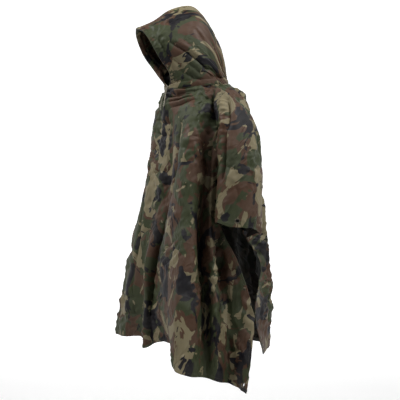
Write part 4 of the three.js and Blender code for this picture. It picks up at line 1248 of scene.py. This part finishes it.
def sew_along(mesh, run):
    """Lays stitches end to end along a run of places, each a short round thread."""
    length, radius = STITCH["length"], STITCH["radius"]
    paces = np.linalg.norm(np.diff(run, axis=0), axis=1)
    passed = np.insert(np.cumsum(paces), 0, 0)
    for start in np.arange(0, passed[-1] - length, length + STITCH["gap"]):
        a, b = (Vector([np.interp(at, passed, run[:, k]) for k in range(3)])
                for at in (start, start + length))
        if not length * STITCH["shortest"] <= (b - a).length <= length * STITCH["longest"]:
            continue
        turn = (b - a).to_track_quat("Z", "Y").to_matrix().to_4x4()
        bmesh.ops.create_cone(mesh, cap_ends=True, segments=STITCH["sides"], radius1=radius, radius2=radius,
                              depth=(b - a).length, matrix=Matrix.Translation((a + b) / 2) @ turn)


def gathers(flat):
    """Small pleats that run down from the neck band, where the cloth is drawn in to it."""
    out, down = flat[..., 0], flat[..., 1]
    near_neck = (1 - smooth_step(down, *GATHERS["down"])) * (1 - smooth_step(np.abs(out), *GATHERS["out"]))
    wander = GATHERS["wander"] * np.sin(out * GATHERS["bends"]) + GATHERS["lean"] * down
    uneven = np.sin(out * 2 * np.pi / GATHERS["wave"] + wander)
    uneven += GATHERS["small"] * np.sin(out * 2 * np.pi / GATHERS["small_wave"])
    return GATHERS["height"] * near_neck * uneven


# The hood

def hoop_place(hoop, part, side):
    """A place on one of the hood's hoops."""
    if part == "base":
        x, y, z = neck_place(hoop["base"], side)
        return (x, y, z + HOOD["sewn_above"])
    width, forward, height = hoop[part]
    return (side * width, -forward, height)


def hood_grid(side):
    """Half the hood before it turns: rows from the crown seam to the neck, columns from rim to nape."""
    along = HOOD_CELLS["along"] * (len(HOOD_HOOPS) - 1)
    down = HOOD_CELLS["down"] * (len(HOOP_PARTS) - 1)
    parts = [along_curve([hoop_place(hoop, part, side) for hoop in HOOD_HOOPS], np.arange(along + 1) / along)
             for part in HOOP_PARTS]
    places = np.stack([along_curve([line[i] for line in parts], np.arange(down + 1) / down)
                       for i in range(along + 1)], axis=1)
    places[0, :, 0] = 0
    places[..., 0] = side * np.maximum(side * places[..., 0], HOOD["seam_half_gap"])
    return places * MM


def turn_with_head(places, heights=None):
    """The hood turns a little to the wearer's right: not at all at the neck, and fully from the jaw up."""
    heights = places[..., 2] if heights is None else heights
    angle = math.radians(HOOD["turn"]) * smooth_step(heights, HOOD["turn_from"] * MM, HOOD["turn_to"] * MM)
    x, y = places[..., 0], places[..., 1]
    cosine, sine = np.cos(angle), np.sin(angle)
    return np.stack([x * cosine - y * sine, x * sine + y * cosine, places[..., 2]], axis=-1)


def closed_at_nape(places, side):
    """Draws the edge at the nape in to the middle, so that the two halves meet there all the way down."""
    from_rim = lengths_along(places, 1)
    to_nape = from_rim[:, -1:] - from_rim
    gap = side * places[:, -1:, 0] - HOOD["seam_half_gap"] * MM
    closed = places.copy()
    closed[..., 0] -= side * gap * (1 - smooth_step(to_nape, 0.0, NAPE_DRAWN))
    return closed


class Hood:
    """Both halves of the hood, with each place's spot on the cloth laid flat."""

    def __init__(self):
        self.halves = {}
        for side in (1, -1):
            plain = closed_at_nape(hood_grid(side), side)
            normals = grid_normals(plain, side)
            normals[0, :, 0] = 0
            normals[0] /= np.linalg.norm(normals[0], axis=1, keepdims=True)
            flat = np.stack([side * (lengths_along(plain, 0) + HOOD_ON_CLOTH[0]),
                             lengths_along(plain, 1) + HOOD_ON_CLOTH[1]], axis=2)
            self.halves[side] = dict(plain=plain, normals=normals, flat=flat)


# Creases, listed one by one: how far each stands out in millimetres (less than 0 is a trough), how wide
# it is to one side, and where it runs, as a fold and a height each, counted from 0.

FRONT_CREASES = [
    (-42, 9, [(15.8, 0.5), (16.1, 1.0), (16.5, 1.5), (17.7, 2.1)]),
    (-12, 13, [(15.8, 0.6), (16.1, 1.1), (16.5, 1.6)]),
    (6, 9, [(15.4, 0.8), (15.6, 1.4), (15.9, 1.9)]),
    (-15, 7, [(17.1, 2.0), (16.4, 2.4), (15.7, 2.7)]),
    (-48, 9, [(21.7, 0.2), (21.4, 0.9), (21.0, 1.7), (20.8, 2.2), (20.4, 3.2)]),
    (-20, 15, [(21.5, 0.5), (21.1, 1.3), (20.8, 2.0), (20.5, 2.8)]),
    (6, 9, [(20.8, 0.8), (20.5, 1.4), (20.2, 2.0), (20.1, 2.6)]),
    (-42, 10, [(13.3, 1.7), (13.3, 2.9), (13.0, 3.4), (12.0, 3.8), (11.8, 4.6), (11.6, 6.2)]),
    (-15, 16, [(13.3, 1.9), (13.3, 2.9), (12.9, 3.5), (12.0, 4.1), (11.8, 4.8)]),
    (-16, 14, [(15.9, 2.3), (16.0, 3.0), (16.1, 3.7)]),
    (6, 13, [(12.5, 1.6), (12.5, 2.4), (12.4, 3.1)]),
    (8, 14, [(14.3, 3.8), (14.2, 4.6), (14.1, 5.6), (14.0, 6.6)]),
    (-6, 12, [(13.5, 4.3), (13.4, 5.2), (13.4, 6.2), (13.2, 7.6)]),
    (9, 11, [(10.8, 4.5), (10.9, 5.1), (11.2, 5.8), (11.1, 8.4)]),
    (-8, 9, [(11.6, 5.3), (11.6, 6.1), (11.6, 8.2)]),
    (-6, 10, [(10.4, 5.2), (10.6, 6.1), (10.6, 8.0)]),
    (7, 8, [(19.4, 4.1), (18.6, 4.5), (18.0, 4.8), (17.2, 5.3)]),
    (-9, 8, [(18.9, 3.9), (18.7, 4.4), (18.3, 5.0), (17.9, 5.8), (17.6, 6.4)]),
    (6, 8, [(19.0, 4.2), (18.6, 5.0), (18.4, 5.6), (18.3, 6.3)]),
    (-6, 9, [(18.9, 4.9), (18.7, 5.6), (18.6, 6.2)]),
    (-4, 5, [(13.4, 2.43), (14.5, 2.50), (15.4, 2.57)]),
    (3.5, 5, [(11.7, 6.16), (13.2, 6.02), (14.2, 5.90)]),
    (9, 6, [(11.5, 0.16), (12.3, 0.24), (13.3, 0.30), (14.3, 0.26)]),
    (6, 6, [(13.5, 0.12), (14.5, 0.20), (15.8, 0.20)]),
    (-12, 11, [(9.2, 0.16), (10.6, 0.20), (11.9, 0.14)]),
    (-9, 5, [(12.1, 0.10), (12.9, 0.14), (13.8, 0.12)]),
    (-8, 5, [(11.6, 0.36), (12.4, 0.44), (13.6, 0.34), (14.6, 0.30)]),
    (5, 5, [(11.7, 0.75), (12.7, 0.74), (13.8, 0.56)]),
    (5, 5, [(11.6, 1.05), (12.7, 0.98), (13.9, 0.76)]),
    (-7, 5, [(14.1, 0.60), (14.7, 0.46), (15.3, 0.30)]),
    (-6, 5, [(14.5, 0.86), (15.2, 0.62), (15.7, 0.40)]),
    (5, 6, [(13.9, 1.30), (14.9, 1.06), (15.6, 0.74)]),
    (-10, 6, [(10.6, 0.50), (11.6, 0.56), (12.6, 0.58), (13.8, 0.50)]),
    (-8, 6, [(13.9, 0.32), (15.1, 0.66), (16.2, 0.84)]),
    (-9, 5, [(11.1, 0.62), (12.2, 0.68), (13.4, 0.48)]),
    (-9, 5, [(11.3, 0.94), (12.6, 0.86), (13.9, 0.66)]),
    (-8, 5, [(11.9, 1.20), (13.0, 1.09), (14.4, 0.82)]),
    (-6, 5, [(9.9, 0.98), (11.0, 0.74), (11.9, 0.46)]),
    (-8, 7, [(13.3, 1.32), (14.3, 1.10), (15.3, 0.72)]),
    (5, 6, [(12.6, 1.40), (13.6, 1.28), (14.8, 0.98)]),
    (-6, 6, [(20.3, 2.88), (21.4, 3.02), (22.0, 2.96)]),
    (5, 7, [(20.5, 3.10), (21.3, 3.20), (22.0, 3.14)]),
    (-6, 8, [(21.1, 3.2), (21.6, 3.4), (21.9, 3.7)]),
    (-5, 8, [(21.9, 3.1), (21.8, 3.4), (21.3, 3.7)]),
    (-5, 10, [(21.6, 1.3), (21.8, 1.9), (21.6, 2.5)]),
    (4, 8, [(21.3, 1.9), (21.3, 2.3), (21.1, 2.8)]),
    (-8, 5, [(14.2, 4.40), (13.6, 4.66), (12.9, 4.96)]),
    (-8, 5, [(14.2, 4.58), (13.6, 4.80), (13.0, 5.08)]),
    (-8, 5, [(14.2, 4.74), (13.8, 4.92), (13.3, 5.16)]),
    (-8, 5, [(14.0, 4.32), (13.4, 4.53), (12.5, 4.78)]),
    (-3, 5, [(16.4, 5.00), (15.7, 4.80)]),
    (-3, 5, [(16.3, 4.96), (17.0, 4.80)]),
    (-3, 5, [(16.3, 4.96), (16.1, 5.40)]),
    (-3, 5, [(16.3, 4.96), (14.9, 5.12)]),
    (-5, 7, [(17.1, 6.56), (18.2, 6.52), (19.0, 6.44)]),
    (-5, 8, [(15.3, 6.20), (16.0, 6.50), (16.4, 6.75)]),
    (-5, 8, [(17.9, 5.70), (17.1, 6.20), (16.4, 6.55)]),
    (-7, 6, [(9.2, 3.10), (10.5, 3.00), (11.5, 3.05)]),
    (-5, 7, [(9.2, 3.70), (10.0, 3.58), (11.3, 3.64)]),
    (-7, 6, [(9.2, 4.34), (10.0, 4.20), (11.4, 4.40)]),
    (-7, 6, [(9.5, 1.54), (11.0, 1.72), (12.0, 1.66)]),
    (-7, 6, [(9.5, 1.92), (10.8, 2.08), (11.9, 2.04)]),
    (-5, 7, [(10.3, 1.20), (10.7, 1.70), (10.9, 2.30)]),
    (-5, 7, [(11.5, 1.10), (11.5, 1.60), (11.7, 2.10)]),
    (-5, 8, [(8.1, 6.00), (9.1, 5.84), (9.9, 5.82)]),
    (-5, 8, [(8.1, 6.52), (9.3, 6.26), (10.1, 6.34)]),
    (-12, 8, [(5.9, 0.7), (5.8, 1.3), (5.3, 1.8), (4.6, 2.1)]),
    (-14, 8, [(0.6, 0.6), (0.9, 1.2), (1.1, 2.0), (1.4, 2.8)]),
    (6, 10, [(1.5, 0.9), (1.7, 1.7), (1.8, 2.5)]),
    (-11, 10, [(8.6, 1.8), (8.5, 2.7), (8.9, 3.6), (9.3, 4.6), (9.2, 5.9)]),
    (8, 13, [(7.8, 3.6), (7.9, 4.8), (8.0, 6.0), (7.9, 8.0)]),
    (-7, 10, [(7.1, 4.2), (7.2, 5.4), (7.1, 8.0)]),
    (-8, 8, [(3.3, 3.9), (3.6, 4.6), (3.9, 5.5), (4.3, 6.4)]),
    (6, 8, [(2.9, 4.4), (3.4, 5.2), (3.7, 6.0)]),
    (-7, 6, [(8.3, 0.40), (7.0, 0.66), (5.9, 0.86)]),
    (-6, 5, [(10.2, 0.56), (9.2, 0.70), (8.2, 0.60)]),
    (-6, 6, [(9.7, 1.10), (8.6, 1.06), (7.4, 0.84)]),
    (-4, 5, [(8.4, 2.45), (7.5, 2.52), (6.4, 2.50)]),
    (-6, 7, [(1.8, 2.9), (0.9, 3.05), (0.1, 2.95)]),
    (-5, 8, [(0.8, 3.2), (0.5, 3.5), (0.9, 3.8)]),
    (-4, 5, [(7.9, 4.5), (8.6, 4.9), (9.3, 5.1)]),
    (-4, 5, [(7.8, 4.8), (8.4, 5.1), (9.0, 5.3)]),
]

BACK_CREASES = [
    (-13, 8, [(1.9, 0.5), (1.8, 1.2), (1.5, 2.0), (1.7, 2.9)]),
    (-12, 8, [(12.1, 0.5), (12.2, 1.3), (12.5, 2.1), (12.2, 2.8)]),
    (-10, 8, [(4.7, 0.5), (4.5, 1.3), (3.9, 2.0)]),
    (-9, 8, [(9.4, 0.6), (9.7, 1.4), (10.4, 2.1)]),
    (-11, 11, [(5.6, 1.0), (5.8, 2.2), (5.5, 3.6), (5.7, 5.0), (5.6, 6.6)]),
    (-9, 11, [(8.5, 1.5), (8.3, 3.0), (8.6, 4.6), (8.4, 6.2)]),
    (8, 13, [(6.5, 2.8), (6.7, 4.4), (6.4, 6.0), (6.5, 8.0)]),
    (7, 12, [(7.3, 1.4), (7.2, 2.8), (7.5, 4.0)]),
    (8, 13, [(9.6, 3.2), (9.4, 4.8), (9.5, 6.4), (9.4, 8.0)]),
    (-7, 10, [(7.5, 4.2), (7.4, 5.6), (7.6, 8.0)]),
    (-8, 9, [(4.6, 3.9), (4.7, 5.0), (4.4, 6.3)]),
    (-8, 9, [(10.4, 4.0), (10.2, 5.2), (10.5, 8.0)]),
    (-6, 6, [(5.2, 0.35), (5.6, 0.75), (5.7, 1.2)]),
    (-6, 6, [(6.2, 0.30), (6.3, 0.70), (6.2, 1.1)]),
    (-5, 6, [(7.2, 0.30), (7.1, 0.60), (7.2, 1.0)]),
    (-6, 6, [(8.1, 0.30), (8.0, 0.75), (8.2, 1.2)]),
    (-6, 6, [(9.0, 0.32), (8.8, 0.70), (8.7, 1.0)]),
    (7, 7, [(5.0, 0.18), (6.2, 0.20), (7.4, 0.17), (8.8, 0.20)]),
    (-4, 5, [(4.7, 2.52), (5.6, 2.55), (6.7, 2.48)]),
    (3.5, 5, [(7.3, 4.90), (8.4, 4.96), (9.5, 4.90)]),
    (-4, 5, [(6.0, 6.02), (7.2, 5.95), (8.3, 6.04)]),
    (-5, 7, [(6.4, 1.8), (7.0, 2.1), (7.9, 2.2)]),
    (-5, 7, [(9.7, 2.6), (9.2, 3.0), (8.3, 3.1)]),
    (-5, 7, [(5.0, 3.2), (5.6, 3.5), (6.5, 3.5)]),
    (-4, 5, [(6.1, 4.3), (6.6, 4.6), (7.2, 4.7)]),
    (-4, 5, [(6.2, 4.5), (6.7, 4.8), (7.2, 4.9)]),
    (-5, 6, [(9.0, 5.2), (9.6, 5.5), (10.2, 5.6)]),
    (-5, 7, [(0.3, 2.9), (1.0, 3.0), (2.0, 2.9)]),
    (-5, 7, [(13.6, 2.8), (12.9, 3.0), (12.2, 2.9)]),
    (-5, 8, [(1.5, 3.2), (1.9, 3.5), (1.4, 3.8)]),
    (-6, 8, [(3.7, 5.6), (4.6, 5.8), (5.2, 6.2)]),
    (-6, 8, [(11.0, 5.7), (10.2, 6.0), (9.7, 6.4)]),
]

# The hood's creases also name the sides that have them, 1 for the left.
HOOD_CREASES = [
    ((1,), -10, 7, [(1.2, 0.45), (2.0, 0.62), (2.8, 0.66)]),
    ((-1,), -8, 7, [(1.5, 0.60), (2.3, 0.78), (3.1, 0.66)]),
    ((1, -1), -7, 6, [(1.2, 1.05), (2.0, 1.00), (2.8, 0.92)]),
    ((1,), -11, 8, [(1.0, 1.9), (2.0, 2.6), (2.9, 3.3), (3.8, 3.4)]),
    ((1,), 5, 8, [(1.3, 1.8), (2.2, 2.4), (3.1, 3.0)]),
    ((-1,), -7, 8, [(1.2, 2.1), (2.2, 2.9), (3.3, 3.4)]),
    ((1, -1), -7, 6, [(0.45, 1.7), (0.7, 2.5), (1.3, 3.3)]),
    ((1,), -9, 7, [(0.8, 3.2), (1.9, 3.7), (2.7, 3.9)]),
    ((-1,), -6, 7, [(0.7, 3.4), (1.6, 3.7), (2.3, 3.8)]),
    ((1,), -10, 7, [(3.8, 1.9), (4.3, 2.35), (4.8, 2.6)]),
    ((-1,), -9, 8, [(4.0, 1.8), (4.5, 2.3), (4.9, 2.7)]),
    ((1, -1), -9, 7, [(5.6, 3.4), (4.4, 3.7), (3.2, 3.7)]),
    ((1, -1), -8, 6, [(6.2, 2.6), (5.3, 2.9), (4.4, 3.2)]),
    ((1,), 6, 8, [(3.2, 1.2), (3.8, 1.7), (4.2, 2.2)]),
    ((1, -1), -5, 8, [(2.6, 1.5), (3.2, 2.1), (3.5, 2.8)]),
    ((1, -1), -4, 5, [(0.45, 0.4), (0.50, 1.4), (0.50, 2.4), (0.42, 3.6)]),
    ((1,), -5, 6, [(1.6, 3.0), (2.4, 3.5), (3.2, 3.6)]),
]

PANEL_CREASES = {"front_panel": FRONT_CREASES, "back_panel": BACK_CREASES}

# Where in the noise each piece's crumples lie.
PANEL_SEEDS = {"front_panel": 1.7, "back_panel": 23.1}
HOOD_SEED = 41.3

# The cut of what each panel shows, in metres: its greatest width, its length and its area.
PANEL_CUT = {
    "front_panel": dict(flat=(1.36, 1.05), area=1.12),
    "back_panel": dict(flat=(1.08, 1.05), area=0.87),
}

FRONT = Panel("front_panel", -1, RIGHT_FRONT, 1, LEFT_FRONT, -1, ((RIGHT_BACK[-2], -1), (LEFT_BACK[-2], 1)))
BACK = Panel("back_panel", 1, LEFT_BACK, -1, RIGHT_BACK, 1, ((LEFT_FRONT[-2], 1), (RIGHT_FRONT[-2], -1)))
BACK.print_runs_on_from(FRONT)
HOODED = Hood()


class PONCHO_OT_hood(bpy.types.Operator):
    """Adds the hood's two halves, and the casing round its rim with the drawcord's gathers"""
    bl_idname = "poncho.hood"
    bl_label = "Hood"
    bl_options = {"REGISTER", "UNDO"}

    def execute(self, context):
        cloth = context.scene.poncho_cloth
        outside = camouflage_material("hood cloth outside", cloth)
        # The hood's inside is mixed partway to near black: painted shade inside the hood.
        inside = camouflage_material("hood cloth inside", cloth, inside_shade=0.3)
        shaped = {}
        for side, node in ((1, "hood_left"), (-1, "hood_right")):
            piece, shaped[side] = self.half(side, node, cloth, outside, inside)
            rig.replaces(piece, node)
            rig.slot(piece, "coated_cloth")
        casing = self.rim_casing(shaped, cloth, outside)
        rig.replaces(casing, "hood_rim_casing")
        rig.slot(casing, "coated_cloth")
        return {"FINISHED"}

    def half(self, side, node, cloth, outside, inside):
        """One half of the hood, creased and turned with the head."""
        half = HOODED.halves[side]
        plain, normals, flat = half["plain"], half["normals"], half["flat"]
        creases = [(depth, width, line) for sides, depth, width, line in HOOD_CREASES if side in sides]

        def line_of(hoop, part):
            return on_grid(flat, part * HOOD_CELLS["down"], hoop * HOOD_CELLS["along"])
        lift, drawn = lift_from_creases(flat, creases, line_of)
        lift *= cloth.crease
        lift += HOOD_CRUMPLED * cloth.crumple * crumple(flat, HOOD_SEED)
        down = lengths_along(plain, 0)
        to_neck = down[-1:, :] - down
        held = smooth_step(to_neck, *HELD["neck"]) * smooth_step(down, *HELD["crown"])
        to_rim = lengths_along(plain, 1)
        held *= HELD["rim_share"] + (1 - HELD["rim_share"]) * smooth_step(to_rim, *HELD["rim"])
        held *= smooth_step(to_rim[:, -1:] - to_rim, *HELD["nape"])
        lifted = draw_aside(plain, flat, cloth.crease * drawn * held[..., None])
        lifted += (lift * held)[..., None] * normals
        lifted[..., 0] = side * np.maximum(side * lifted[..., 0], HOOD["seam_half_gap"] * MM)
        turned = turn_with_head(lifted, plain[..., 2])
        marks = {"flat_cloth": np.concatenate([flat, to_rim[..., None]], axis=2)}
        mesh = cloth_mesh(node, turned, np.ones(turned.shape[:2], bool), marks)
        face_out(mesh, Vector(INSIDE_HOOD))
        piece = finished_piece(f"{node}_cloth", mesh, outside, cloth.wall, shaded_inside=inside)
        return piece, dict(lifted=lifted, plain=plain, normals=normals)

    def rim_casing(self, shaped, cloth, material):
        """A soft tube round the rim, folded in over the drawcord and sewn down, puckered by the cord."""
        stations = []
        rows = shaped[1]["plain"].shape[0]
        for side, order in ((1, range(rows - 4, -1, -1)), (-1, range(1, rows - 2))):
            grid = shaped[side]
            for j in order:
                back = grid["lifted"][j, HOOD_CELLS["along"] // 2] - grid["lifted"][j, 0]
                back /= np.linalg.norm(back)
                stations.append((grid["lifted"][j, 0], back, grid["normals"][j, 1]))
        rings = np.zeros((len(stations), RIM["cells"], 3))
        puckers = puckered([edge for edge, _, _ in stations], RIM)
        for s, (edge, back, out) in enumerate(stations):
            for k, turn in enumerate(turns_round(RIM)):
                width = RIM["middle"] + RIM["half_width"] * math.cos(turn)
                depth = RIM["sunk"] + RIM["half_depth"] * puckers[s] * math.sin(turn)
                rings[s, k] = edge + back * width * MM + out * depth * MM
        rings = turn_with_head(rings)
        lengths = lengths_along(rings[:, :1], 0)[:, 0]

        def mark(s, k):
            return (RIM_ON_CLOTH[0] + k / RIM["cells"] * RIM_TURNED, RIM_ON_CLOTH[1] + lengths[s], FAR_IN)
        return soft_tube("hood_rim_casing_cloth", rings, mark, material)


def turns_round(section):
    """The angles of a tube's places round its section."""
    return [2 * math.pi * k / section["cells"] for k in range(section["cells"])]


def puckered(line, section):
    """How much a tube is puffed or drawn in at each place of its line, where cord or seam gathers it."""
    run = np.insert(np.cumsum(np.linalg.norm(np.diff(line, axis=0), axis=1)), 0, 0)
    wander = section["wander"] * np.sin(run * section["bends"])
    return 1 + section["pucker"] * np.sin(run * 2 * math.pi / section["wave"] + wander)


def soft_tube(name, rings, mark, material):
    """A closed tube of cloth through rings of places, with its spots on the flat cloth from mark."""
    count, cells = rings.shape[:2]
    mesh = bmesh.new()
    bmesh.ops.create_grid(mesh, x_segments=cells, y_segments=count - 1, size=1)
    flat_mark = mesh.verts.layers.float_vector.new("flat_cloth")
    for vertex in mesh.verts:
        k = round((vertex.co.x + 1) / 2 * cells)
        s = round((1 - vertex.co.y) / 2 * (count - 1))
        vertex.co = rings[s, k % cells]
        vertex[flat_mark] = mark(s, k)
    bmesh.ops.remove_doubles(mesh, verts=mesh.verts, dist=MERGED_WITHIN)
    bmesh.ops.holes_fill(mesh, edges=[e for e in mesh.edges if e.is_boundary], sides=0)
    bmesh.ops.recalc_face_normals(mesh, faces=mesh.faces)
    return finished_piece(name, mesh, material)


def face_out(mesh, centre):
    """Turns the faces of a shell out, away from a point inside it."""
    mesh.normal_update()
    outward = sum((face.calc_center_median() - centre).dot(face.normal) * face.calc_area()
                  for face in mesh.faces)
    if outward < 0:
        bmesh.ops.reverse_faces(mesh, faces=mesh.faces[:])


class PONCHO_OT_neck_band(bpy.types.Operator):
    """Adds the rolled band of cloth that covers the seam between the hood and the panels"""
    bl_idname = "poncho.neck_band"
    bl_label = "Neck Band"
    bl_options = {"REGISTER", "UNDO"}

    def execute(self, context):
        cloth = context.scene.poncho_cloth
        material = camouflage_material("neck band cloth", cloth)
        feet, marks = [], []
        for side in (1, -1):
            plain, normals = HOODED.halves[side]["plain"], HOODED.halves[side]["normals"]
            foot_marks = HOODED.halves[side]["flat"][-1]
            marks += list(foot_marks if side > 0 else foot_marks[::-1])
            columns = range(plain.shape[1])
            ordered = columns if side > 0 else reversed(columns)
            above = plain[-1 - HOOD_CELLS["down"] // 2]
            feet += [(plain[-1, i], above[i], normals[-1, i]) for i in ordered]
        turns = turns_round(BAND)
        rises = [BAND["middle"] + BAND["half_height"] * math.cos(turn) for turn in turns]
        rings = np.zeros((len(feet), BAND["cells"], 3))
        puckers = puckered([low for low, _, _ in feet], BAND)
        for s, (low, high, out) in enumerate(feet):
            up = (high - low) / np.linalg.norm(high - low)
            for k, (turn, rise) in enumerate(zip(turns, rises)):
                to_foot = (BAND["outward_foot"] - BAND["outward"]) * (1 - math.cos(turn)) / 2
                stand = BAND["outward"] + to_foot + BAND["half_depth"] * puckers[s] * math.sin(turn)
                rings[s, k] = low + up * rise * MM + out * stand * MM

        def mark(s, k):
            down = math.copysign(rises[k % BAND["cells"]] * MM, marks[s][0])
            return (marks[s][0] - down, marks[s][1], FAR_IN)
        piece = soft_tube("neck_band_cloth", turn_with_head(rings), mark, material)
        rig.replaces(piece, "neck_band")
        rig.slot(piece, "coated_cloth")
        return {"FINISHED"}


# The fittings

def spun(mesh, profile, middle, facing, steps):
    """Spins a closed profile of radius and height pairs about a fitting's own axis."""
    turn = facing.to_track_quat("Z", "Y").to_matrix().to_4x4()
    place = Matrix.Translation(middle) @ turn
    before = set(mesh.verts)
    ring = [mesh.verts.new((radius * MM, 0, height * MM)) for radius, height in profile]
    edges = [mesh.edges.new(pair) for pair in zip(ring, ring[1:])]
    bmesh.ops.spin(mesh, geom=ring + edges, axis=(0, 0, 1), cent=(0, 0, 0), angle=2 * math.pi, steps=steps,
                   use_merge=True)
    made = [vertex for vertex in mesh.verts if vertex not in before]
    bmesh.ops.remove_doubles(mesh, verts=made, dist=MERGED_WITHIN)
    made = [vertex for vertex in mesh.verts if vertex not in before]
    bmesh.ops.transform(mesh, matrix=place, verts=made)


class PONCHO_OT_grommets(bpy.types.Operator):
    """Adds the rolled washers round the holes at the corners and in the side edges"""
    bl_idname = "poncho.grommets"
    bl_label = "Grommets"
    bl_options = {"REGISTER", "UNDO"}

    def execute(self, context):
        fittings = context.scene.poncho_fittings
        material = metal_material("blackened brass", fittings.metal, (0.16, 0.125, 0.075), 0.38)
        for side in (-1, 1):
            for node, (middle, facing) in fittings_on(side).items():
                if node.startswith("grommet"):
                    mesh = bmesh.new()
                    spun(mesh, self.profile(), middle, facing, GROMMET["steps"])
                    bmesh.ops.recalc_face_normals(mesh, faces=mesh.faces)
                    piece = finished_piece(f"{node}_ring", mesh, material)
                    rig.replaces(piece, node)
                    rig.slot(piece, "blackened_metal")
        return {"FINISHED"}

    def profile(self):
        """The rolled edge of the hole, the crowned flange, and the same below, closed on itself."""
        hole, flange, lip, grip, roll = (GROMMET[key] for key in ("hole", "flange", "lip", "grip", "roll"))
        upper = [(flange, grip), (flange - 0.15, grip + 0.45), (flange - 0.8, grip + 0.7),
                 (hole + 2.2, lip - 0.25)]
        upper += [(hole + roll - roll * math.sin(a), lip - roll + roll * math.cos(a))
                  for a in np.linspace(-0.5, math.pi / 2, 5)]
        lower = [(radius, -height) for radius, height in reversed(upper)]
        inside = [(hole + GROMMET["waist"], -grip), (hole + GROMMET["waist"], grip)]
        return upper + lower + inside + upper[:1]


class PONCHO_OT_snaps(bpy.types.Operator):
    """Adds the snap fasteners along the side edges: a crowned cap outside, and a socket inside"""
    bl_idname = "poncho.snaps"
    bl_label = "Snap Fasteners"
    bl_options = {"REGISTER", "UNDO"}

    def execute(self, context):
        fittings = context.scene.poncho_fittings
        material = metal_material("snap enamel", fittings.snap, (0.13, 0.105, 0.07), 0.42)
        for side in (-1, 1):
            for node, (middle, facing) in fittings_on(side).items():
                if node.startswith("snap"):
                    mesh = bmesh.new()
                    spun(mesh, self.cap(), middle, facing, SNAP["steps"])
                    socket = self.socket(context.scene.poncho_cloth.wall / MM)
                    spun(mesh, socket, middle, facing, SNAP["socket_steps"])
                    bmesh.ops.recalc_face_normals(mesh, faces=mesh.faces)
                    piece = finished_piece(f"{node}_cap", mesh, material)
                    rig.replaces(piece, node)
                    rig.slot(piece, "snap_metal")
        return {"FINISHED"}

    def cap(self):
        """The crowned cap's half section."""
        radius, half = SNAP["radius"], SNAP["height"] / 2
        crown = [(radius, -half + 0.5), (radius - 0.1, -half + 0.9), (radius - 0.6, -half + 1.3),
                 (radius * 0.82, half - 0.9), (radius * 0.55, half - 0.3), (radius * 0.3, half - 0.05),
                 (0, half)]
        return [(0, -half), (radius - 0.3, -half), *crown]

    def socket(self, wall):
        """The ring and stud on the inside of the hem, below the cloth."""
        top = -SNAP["height"] / 2 - wall
        stud = SNAP["stud"]
        return [(0, top), (stud + 1.4, top), (stud + 1.4, top - 0.6), (stud, top - 0.9),
                (stud * 0.75, top - 0.9), (stud * 0.7, top - 2.4), (stud * 0.45, top - 2.7), (0, top - 2.7)]


class PONCHO_PT_panel(bpy.types.Panel):
    """The poncho's sizes and colours, and a button for each of its pieces"""
    bl_label = "Rain Poncho"
    bl_idname = "PONCHO_PT_panel"
    bl_space_type = "VIEW_3D"
    bl_region_type = "UI"
    bl_category = "Rain Poncho"

    def draw(self, context):
        for group in (context.scene.poncho_cloth, context.scene.poncho_fittings, context.scene.poncho_studio):
            box = self.layout.box()
            for name in group.__annotations__:
                box.prop(group, name)
        for operator in OPERATORS:
            self.layout.operator(operator.bl_idname)


GROUPS = {"poncho_cloth": PonchoCloth, "poncho_fittings": PonchoFittings, "poncho_studio": PonchoStudio}
OPERATORS = (PONCHO_OT_stage, PONCHO_OT_drawcords, PONCHO_OT_panels, PONCHO_OT_hood, PONCHO_OT_neck_band,
             PONCHO_OT_grommets, PONCHO_OT_snaps)


def register():
    for group in GROUPS.values():
        bpy.utils.register_class(group)
    for name, group in GROUPS.items():
        setattr(bpy.types.Scene, name, PointerProperty(type=group))
    for operator in OPERATORS:
        bpy.utils.register_class(operator)
    bpy.utils.register_class(PONCHO_PT_panel)


def unregister():
    bpy.utils.unregister_class(PONCHO_PT_panel)
    for operator in reversed(OPERATORS):
        bpy.utils.unregister_class(operator)
    for name, group in reversed(GROUPS.items()):
        delattr(bpy.types.Scene, name)
        bpy.utils.unregister_class(group)


def main():
    """Builds every piece, and writes the boxes of the solids and of the finished scene."""
    register()
    bpy.ops.poncho.stage()
    bpy.ops.poncho.drawcords()
    bpy.ops.poncho.panels()
    bpy.ops.poncho.hood()
    bpy.ops.poncho.neck_band()
    bpy.ops.poncho.grommets()
    bpy.ops.poncho.snaps()
    boxes = {"cad": CAD_BOX, "visual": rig.bounds()}
    with open("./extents.json", "w") as sizes:
        json.dump({name: [list(corner) for corner in box] for name, box in boxes.items()}, sizes)


if __name__ == "__main__":
    main()
